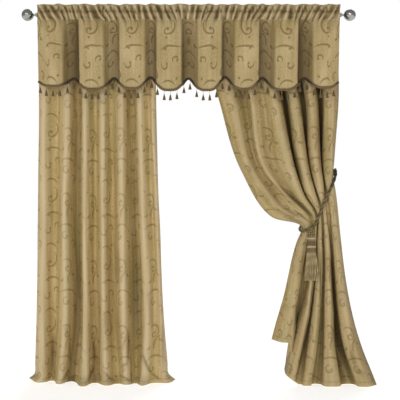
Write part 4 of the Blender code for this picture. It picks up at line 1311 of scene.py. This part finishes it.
def steepened(stages):
    """Add a shoulder and a heel to the wall of each deep pleat, at every stage."""
    hang = stages[3, :, 1]
    shoulder_share = np.array(RIGHT_SHOULDERS)[:, None]
    heel_share = shoulder_share + (1.0 - shoulder_share) * HEEL_SHARE
    columns = [stages[:, 0]]
    for line in range(stages.shape[1] - 1):
        here = stages[:, line]
        there = stages[:, line + 1]
        if abs(hang[line] - hang[line + 1]) > DEEP_PLEAT:
            falls = hang[line + 1] > hang[line]
            ridge, valley = (here, there) if falls else (there, here)
            wall = []
            for share, sunk in ((shoulder_share, SHOULDER_SUNK), (heel_share, HEEL_SUNK)):
                added = ridge + (valley - ridge) * share
                added[:, 1] = ridge[:, 1] + (valley[:, 1] - ridge[:, 1]) * sunk
                wall.append(added)
            columns += wall if falls else reversed(wall)
        columns.append(there)
    return np.stack(columns, axis=1)


class CURTAIN_OT_tied_panel(bpy.types.Operator):
    """Add the tied-back panel: swag, waist under the tie, hanging flap and flared tail"""
    bl_idname = "curtain.tied_panel"
    bl_label = "Tied Panel"

    def execute(self, context):
        lines = []
        for upper, gathered, tail in zip(RIGHT_UPPER, RIGHT_TIE, RIGHT_TAIL):
            _, head_x, hang_x, hang_d, *swag = upper
            _, *tie, waist_x, waist_d, fall_x, fall_d = gathered
            line = header_points(head_x, hang_x, hang_d, HANG_HEIGHT)
            lower = (*swag, *tie, waist_x, waist_d, WAIST_HEIGHT, fall_x, fall_d, FALL_HEIGHT, *tail[1:])
            line += [place(*lower[spot:spot + 3]) for spot in range(0, len(lower), 3)]
            lines.append(line)
        cloth = panel(
            "panel_right", steepened(np.array(lines).transpose(1, 0, 2)), RIGHT_STEPS,
            columns=10, pull=1.15, seed=57, creases=TIED_CREASES,
            wrinkled=lambda height: 0.35 + 0.65 * step(np.abs(height - 0.9) / 0.3),
            hollow=0.125, lit=0.12, crest_hollow=0.014, shade=0.88, crest=0.38)
        return {"FINISHED"}


class CURTAIN_OT_rod(bpy.types.Operator):
    """Add the rod with its two turned ball finials"""
    bl_idname = "curtain.rod"
    bl_label = "Rod and Finials"

    def execute(self, context):
        metal = once("pewter_satin", pewter)
        rows = [(name, inset - ROD_HALF, radius) for name, inset, radius in ROD_END]
        rows += [(name, -along, radius) for name, along, radius in reversed(rows)]
        rod = turned("rod_tube", (0.0, 0.0, 0.0), (1.0, 0.0, 0.0), rows, 48, metal)
        dress(rod, "pewter", "rod")
        centre = BALL_CENTRE - ROD_HALF
        rows = list(FINIAL_FOOT)
        first = math.pi - math.asin(BALL_NECK / BALL_RADIUS)
        for ring in range(BALL_RINGS):
            angle = first * (1.0 - ring / (BALL_RINGS + 0.2))
            rows.append(("ball", centre + BALL_RADIUS * math.cos(angle), BALL_RADIUS * math.sin(angle)))
        for name, side in (("left", -1.0), ("right", 1.0)):
            finial = turned("finial_" + name + "_ball", (side * ROD_HALF, 0.0, 0.0), (side, 0.0, 0.0),
                            rows, 40, metal)
            dress(finial, "pewter", "finial_" + name)
        return {"FINISHED"}


def round_tassel(drop, half, turn):
    """Points round the tassel's leaning axis, on its flattened section."""
    drop, half, turn = np.broadcast_arrays(drop, half, turn)
    x = TASSEL_X + half * np.cos(turn)
    depth = TASSEL_DEPTH - TASSEL_LEAN * drop + TASSEL_FLAT * half * np.sin(turn)
    return np.stack([x, depth, TASSEL_TOP - drop - ROD_HEIGHT], axis=1)


def wound_ring(pile, drop, half, thick, plies):
    """A ring of twisted cord round the tassel's head."""
    count = 72
    angles = TURN * np.arange(count + 1) / count
    pile.strand(round_tassel(drop, half, angles), thick, 10, plies * TURN / count)


class CURTAIN_OT_tie(bpy.types.Operator):
    """Add the twisted rope tie and the large tassel that hangs from it"""
    bl_idname = "curtain.tie"
    bl_label = "Tie and Tassel"

    def execute(self, context):
        head = self.tassel_head()
        rings = self.tassel_rings()
        self.tassel_skirt()
        size = sizes()
        stations = np.array([[place(*point)] for point in TIE_ROUTE])
        route, length = even_route(through(stations, 24)[:, 0], ROPE_STEP)
        angles = ring_angles(22)
        along = np.linspace(0.0, length, len(route))
        lay = TURN * along[:, None] / ROPE_LAY
        plies = np.abs(np.cos(angles - lay)) ** 1.3
        yarns = 0.016 * np.cos(18.0 * angles + 5.0 * lay)
        ends = step(np.minimum(along, length - along) / ROPE_END)[:, None]
        pile = MeshPile()
        radii = ROPE_CORE + (0.015 + 0.105 * plies + yarns) * (0.25 + 0.75 * ends)
        pile.twisted(route, size.rope * radii)
        rope = pile.finish("tie_rope", "tie_yarn", "tie_rope_yarn", "tieback_rope")
        return {"FINISHED"}

    def tassel_head(self):
        """The head: a braided neck over a wound body and a netted band."""
        pile = MeshPile()
        angles = ring_angles(48)
        oval = 1.0 / np.hypot(np.sin(angles), np.cos(angles) / TASSEL_FLAT)
        _, drops, radii = zip(*TASSEL_HEAD)
        pile.tube(round_tassel(np.array(drops), 0.0, 0.0), np.outer(radii, oval))
        for _, drop, half in TASSEL_WINDING:
            wound_ring(pile, drop, half, 0.0022, 30)
        for _, top, fall, half, bulge, widening, over, radius, starts, count, sweep in TASSEL_CORDS:
            t = np.linspace(0.0, 1.0, count)
            turn = t * math.radians(sweep)
            width = half + bulge * np.sin(math.pi * (0.18 + 0.72 * t)) + widening * t
            for start in ring_angles(starts):
                for way in (-1.0, 1.0):
                    crossed = width + way * over * np.cos(8.0 * turn)
                    route = round_tassel(top + fall * t, crossed, start + way * turn)
                    pile.strand(route, radius, 10 if over else 6, 0.9)
        return pile.finish("tie_tassel_head", "tie_yarn", "tassel_yarn", "tieback_tassel")

    def tassel_rings(self):
        """The two pale rings round the head."""
        pile = MeshPile()
        for _, drop, half in TASSEL_RINGS:
            wound_ring(pile, drop, half, 0.0025, 40)
        return pile.finish("tie_tassel_rings", "tie_yarn", "ring_yarn")

    def tassel_skirt(self):
        """The skirt: two layers of long cut strands, a little uneven at their ends."""
        random = np.random.default_rng(77)
        pile = MeshPile()
        t = np.linspace(0.0, 1.0, 16)
        for _, count, top, spread, radius in TASSEL_LAYERS:
            for index in range(count):
                turn = TURN * (index + random.uniform(-0.2, 0.2)) / count
                end = SKIRT_END + random.uniform(-0.008, 0.004)
                sway = random.uniform(-0.0022, 0.0022, 2)
                curl = random.uniform(0.0, 6.0)
                drop = SKIRT_START + (end - SKIRT_START) * t
                route = round_tassel(drop, top * (1.0 + (spread - 1.0) * t ** 0.8), turn)
                route[:, :2] += np.outer(t, sway)
                route[:, 0] += 0.0007 * np.sin(9 * t + curl)
                pile.strand(route, radius, 6, 1.2)
        return pile.finish("tie_tassel_skirt", "tie_yarn", "skirt_yarn")


class CURTAIN_OT_stage(bpy.types.Operator):
    """Add the camera, the soft studio light and the plain floor"""
    bl_idname = "curtain.stage"
    bl_label = "Stage"

    def execute(self, context):
        scene = context.scene
        scene.view_settings.view_transform = "Standard"
        camera = bpy.data.objects.new("camera", bpy.data.cameras.new("camera"))
        camera.location = CAMERA
        camera.rotation_euler = (math.pi / 2, 0.0, 0.0)
        camera.data.sensor_width = SENSOR
        camera.data.lens = SENSOR * VIEW_DISTANCE / VIEW_WIDTH
        scene.collection.objects.link(camera)
        scene.camera = camera
        for name, turn, rise, spread, strength in LAMPS:
            light = bpy.data.lights.new(name, "SUN")
            light.energy = strength
            light.angle = math.radians(spread)
            lamp = bpy.data.objects.new(name, light)
            lamp.rotation_euler = (math.radians(90.0 - rise), 0.0, math.radians(turn))
            scene.collection.objects.link(lamp)
        self.white_surround(scene)
        self.pale_floor()
        return {"FINISHED"}

    def white_surround(self, scene):
        """A plain white surround that lights the cloth softly from all sides."""
        scene.world = bpy.data.worlds.new("surround")
        scene.world.use_nodes = True
        look = Look(scene.world.node_tree)
        soft = look.tree.nodes["Background"]
        look.join((1.0, 0.99, 0.97), soft.inputs["Color"])
        look.join(AMBIENT, soft.inputs["Strength"])
        seen = look.add("Background", (1.0, 1.0, 1.0))
        camera = look.add("LightPath").outputs["Is Camera Ray"]
        both = look.add("MixShader", camera, soft.outputs[0], seen.outputs[0])
        look.join(both.outputs[0], look.tree.nodes["World Output"].inputs["Surface"])

    def pale_floor(self):
        bpy.ops.object.select_all(action="DESELECT")
        bpy.ops.mesh.primitive_plane_add(size=24.0, location=(0.0, 0.0, FLOOR))
        floor = bpy.context.object
        floor.name = "pale_floor"
        look = Finish("pale_floor", 0.85)
        grain = look.grain(look.in_object(), (14.0, 14.0, 14.0), 2.0)
        look.join((1.0, 1.0, 1.0), look.sockets["Emission Color"])
        look.join(0.60, look.sockets["Emission Strength"])
        floor.data.materials.append(look.done(look.blend(grain, colours().floor, (0.93, 0.93, 0.92))))


class CURTAIN_PT_pieces(bpy.types.Panel):
    """Pieces of the curtain set, in the order in which they are made"""
    bl_idname = "CURTAIN_PT_pieces"
    bl_label = "Curtain Set"
    bl_space_type = "VIEW_3D"
    bl_region_type = "UI"
    bl_category = "Curtain"

    def draw(self, context):
        for piece in PIECES:
            self.layout.operator(piece.bl_idname)
        for group in (sizes(), colours()):
            box = self.layout.box()
            for name in group.bl_rna.properties.keys():
                if name not in ("rna_type", "name"):
                    box.prop(group, name)


PIECES = (CURTAIN_OT_stage, CURTAIN_OT_rod, CURTAIN_OT_tie, CURTAIN_OT_valance,
          CURTAIN_OT_fringe, CURTAIN_OT_straight_panel, CURTAIN_OT_tied_panel)
CLASSES = (CurtainSizes, CurtainColours, *PIECES, CURTAIN_PT_pieces)


def register():
    for item in CLASSES:
        bpy.utils.register_class(item)
    bpy.types.Scene.curtain_sizes = bpy.props.PointerProperty(type=CurtainSizes)
    bpy.types.Scene.curtain_colours = bpy.props.PointerProperty(type=CurtainColours)


def unregister():
    del bpy.types.Scene.curtain_colours
    del bpy.types.Scene.curtain_sizes
    for item in reversed(CLASSES):
        bpy.utils.unregister_class(item)


def main():
    register()
    bpy.ops.curtain.stage()
    bpy.ops.curtain.rod()
    bpy.ops.curtain.tie()
    bpy.ops.curtain.valance()
    bpy.ops.curtain.fringe()
    bpy.ops.curtain.straight_panel()
    bpy.ops.curtain.tied_panel()


if __name__ == "__main__":
    main()
